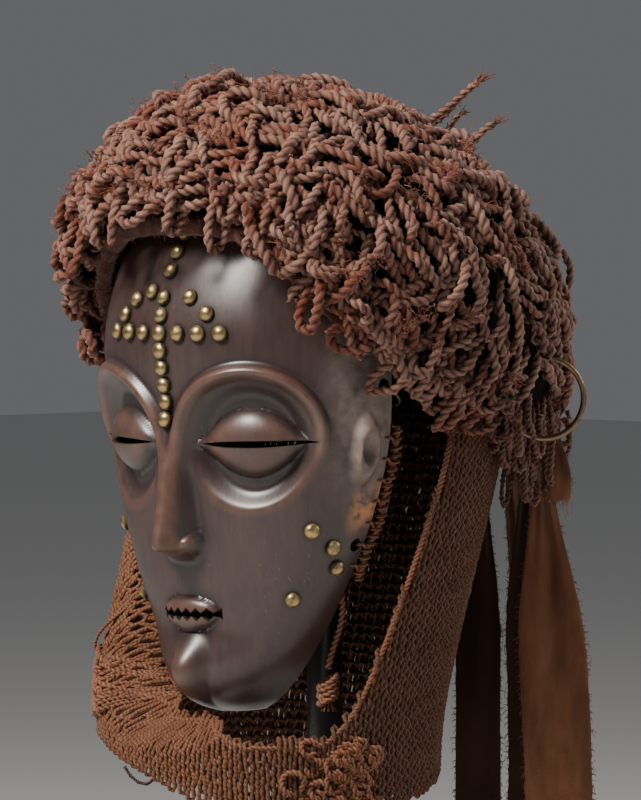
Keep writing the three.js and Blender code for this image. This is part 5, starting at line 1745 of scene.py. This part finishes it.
# Name, place to the right, above and before the mask in metres, size, power and colour of each light
LIGHTS = (("key", -0.84, 1.32, 0.72, 0.35, 42, (1.0, 0.95, 0.9)),
          ("fill", 1.1, 0.6, 0.9, 1.0, 1.8, (0.93, 0.96, 1.0)),
          ("rim", 1.1, 0.9, -0.25, 0.5, 7, (1.0, 0.96, 0.92)))
MASK_MIDDLE, MASK_ASIDE = 0.307, -0.002
ROOM_COLOUR, ROOM_STRENGTH = (0.80, 0.82, 0.86, 1), 0.16
FLOOR_SIZE = 12


class MASK_OT_stage(bpy.types.Operator):
    """Sets the camera, the pale floor and the studio light"""
    bl_idname = "mask.stage"
    bl_label = "Stage"

    def execute(self, context):
        stage = context.scene.mask_stage
        turn, rise = math.radians(stage.azimuth), math.radians(stage.elevation)
        right = Vector((math.cos(turn), math.sin(turn), 0))
        target = right * MASK_ASIDE + Vector((0, 0, MASK_MIDDLE))
        back = Vector((math.sin(turn) * math.cos(rise), -math.cos(turn) * math.cos(rise), math.sin(rise)))
        camera = bpy.data.objects.new("camera", bpy.data.cameras.new("camera"))
        camera.data.lens = stage.lens
        camera.data.sensor_width = 36
        camera.data.clip_end = 50
        camera.location = target + back * stage.distance
        camera.rotation_euler = back.to_track_quat("Z", "Y").to_euler()
        context.scene.collection.objects.link(camera)
        context.scene.camera = camera
        for name, aside, high, before, size, power, colour in LIGHTS:
            place = right * aside + Vector((0, 0, high)) + back * before
            self.light(name, place, target, size, power, colour)
        self.floor(stage)
        world = bpy.data.worlds.new("room")
        world.use_nodes = True
        background = world.node_tree.nodes["Background"]
        background.inputs["Color"].default_value = ROOM_COLOUR
        background.inputs["Strength"].default_value = ROOM_STRENGTH
        context.scene.world = world
        return {"FINISHED"}

    def light(self, name, place, target, size, power, colour):
        lamp = bpy.data.lights.new(name, "AREA")
        lamp.size = size
        lamp.energy = power
        lamp.color = colour
        holder = bpy.data.objects.new(name, lamp)
        holder.location = place
        holder.rotation_euler = (place - target).to_track_quat("Z", "Y").to_euler()
        bpy.context.scene.collection.objects.link(holder)

    def floor(self, stage):
        bpy.ops.object.select_all(action="DESELECT")
        bpy.ops.mesh.primitive_plane_add(size=FLOOR_SIZE)
        floor = bpy.context.object
        floor.name = "floor"
        material, nodes, shader = new_material("floor", roughness=0.7)
        patch = nodes.mottle(2.0, 0.4)
        nodes.feed(shader, "Base Color", nodes.mix(patch, shade(0.96, stage.floor), stage.floor))
        floor.data.materials.append(material)


class MASK_PT_panel(bpy.types.Panel):
    """Lists the mask's pieces and their sizes"""
    bl_idname = "MASK_PT_panel"
    bl_label = "Carved dance mask"
    bl_space_type = "VIEW_3D"
    bl_region_type = "UI"
    bl_category = "Mask"

    def draw(self, context):
        for group_name in SETTINGS:
            box = self.layout.box()
            settings = getattr(context.scene, group_name)
            for key in settings.__annotations__:
                box.prop(settings, key)
        for operator in OPERATORS:
            self.layout.operator(operator.bl_idname)


SETTINGS = {"mask_face": FaceSettings, "mask_coiffure": CoiffureSettings, "mask_net": NetSettings,
            "mask_trim": TrimSettings, "mask_stage": StageSettings}
OPERATORS = (MASK_OT_stage, MASK_OT_free_cord, MASK_OT_strips, MASK_OT_wooden_face, MASK_OT_tacks,
             MASK_OT_coiffure, MASK_OT_net, MASK_OT_trim, MASK_OT_stand)


def register():
    for name, settings in SETTINGS.items():
        bpy.utils.register_class(settings)
        setattr(bpy.types.Scene, name, PointerProperty(type=settings))
    for operator in OPERATORS:
        bpy.utils.register_class(operator)
    bpy.utils.register_class(MASK_PT_panel)


def unregister():
    bpy.utils.unregister_class(MASK_PT_panel)
    for operator in reversed(OPERATORS):
        bpy.utils.unregister_class(operator)
    for name, settings in SETTINGS.items():
        delattr(bpy.types.Scene, name)
        bpy.utils.unregister_class(settings)


def main():
    register()
    bpy.ops.mask.stage()
    bpy.ops.mask.free_cord()
    bpy.ops.mask.strips()
    bpy.ops.mask.wooden_face()
    bpy.ops.mask.tacks()
    bpy.ops.mask.coiffure()
    bpy.ops.mask.net()
    bpy.ops.mask.trim()
    bpy.ops.mask.stand()
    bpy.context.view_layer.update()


if __name__ == "__main__":
    main()
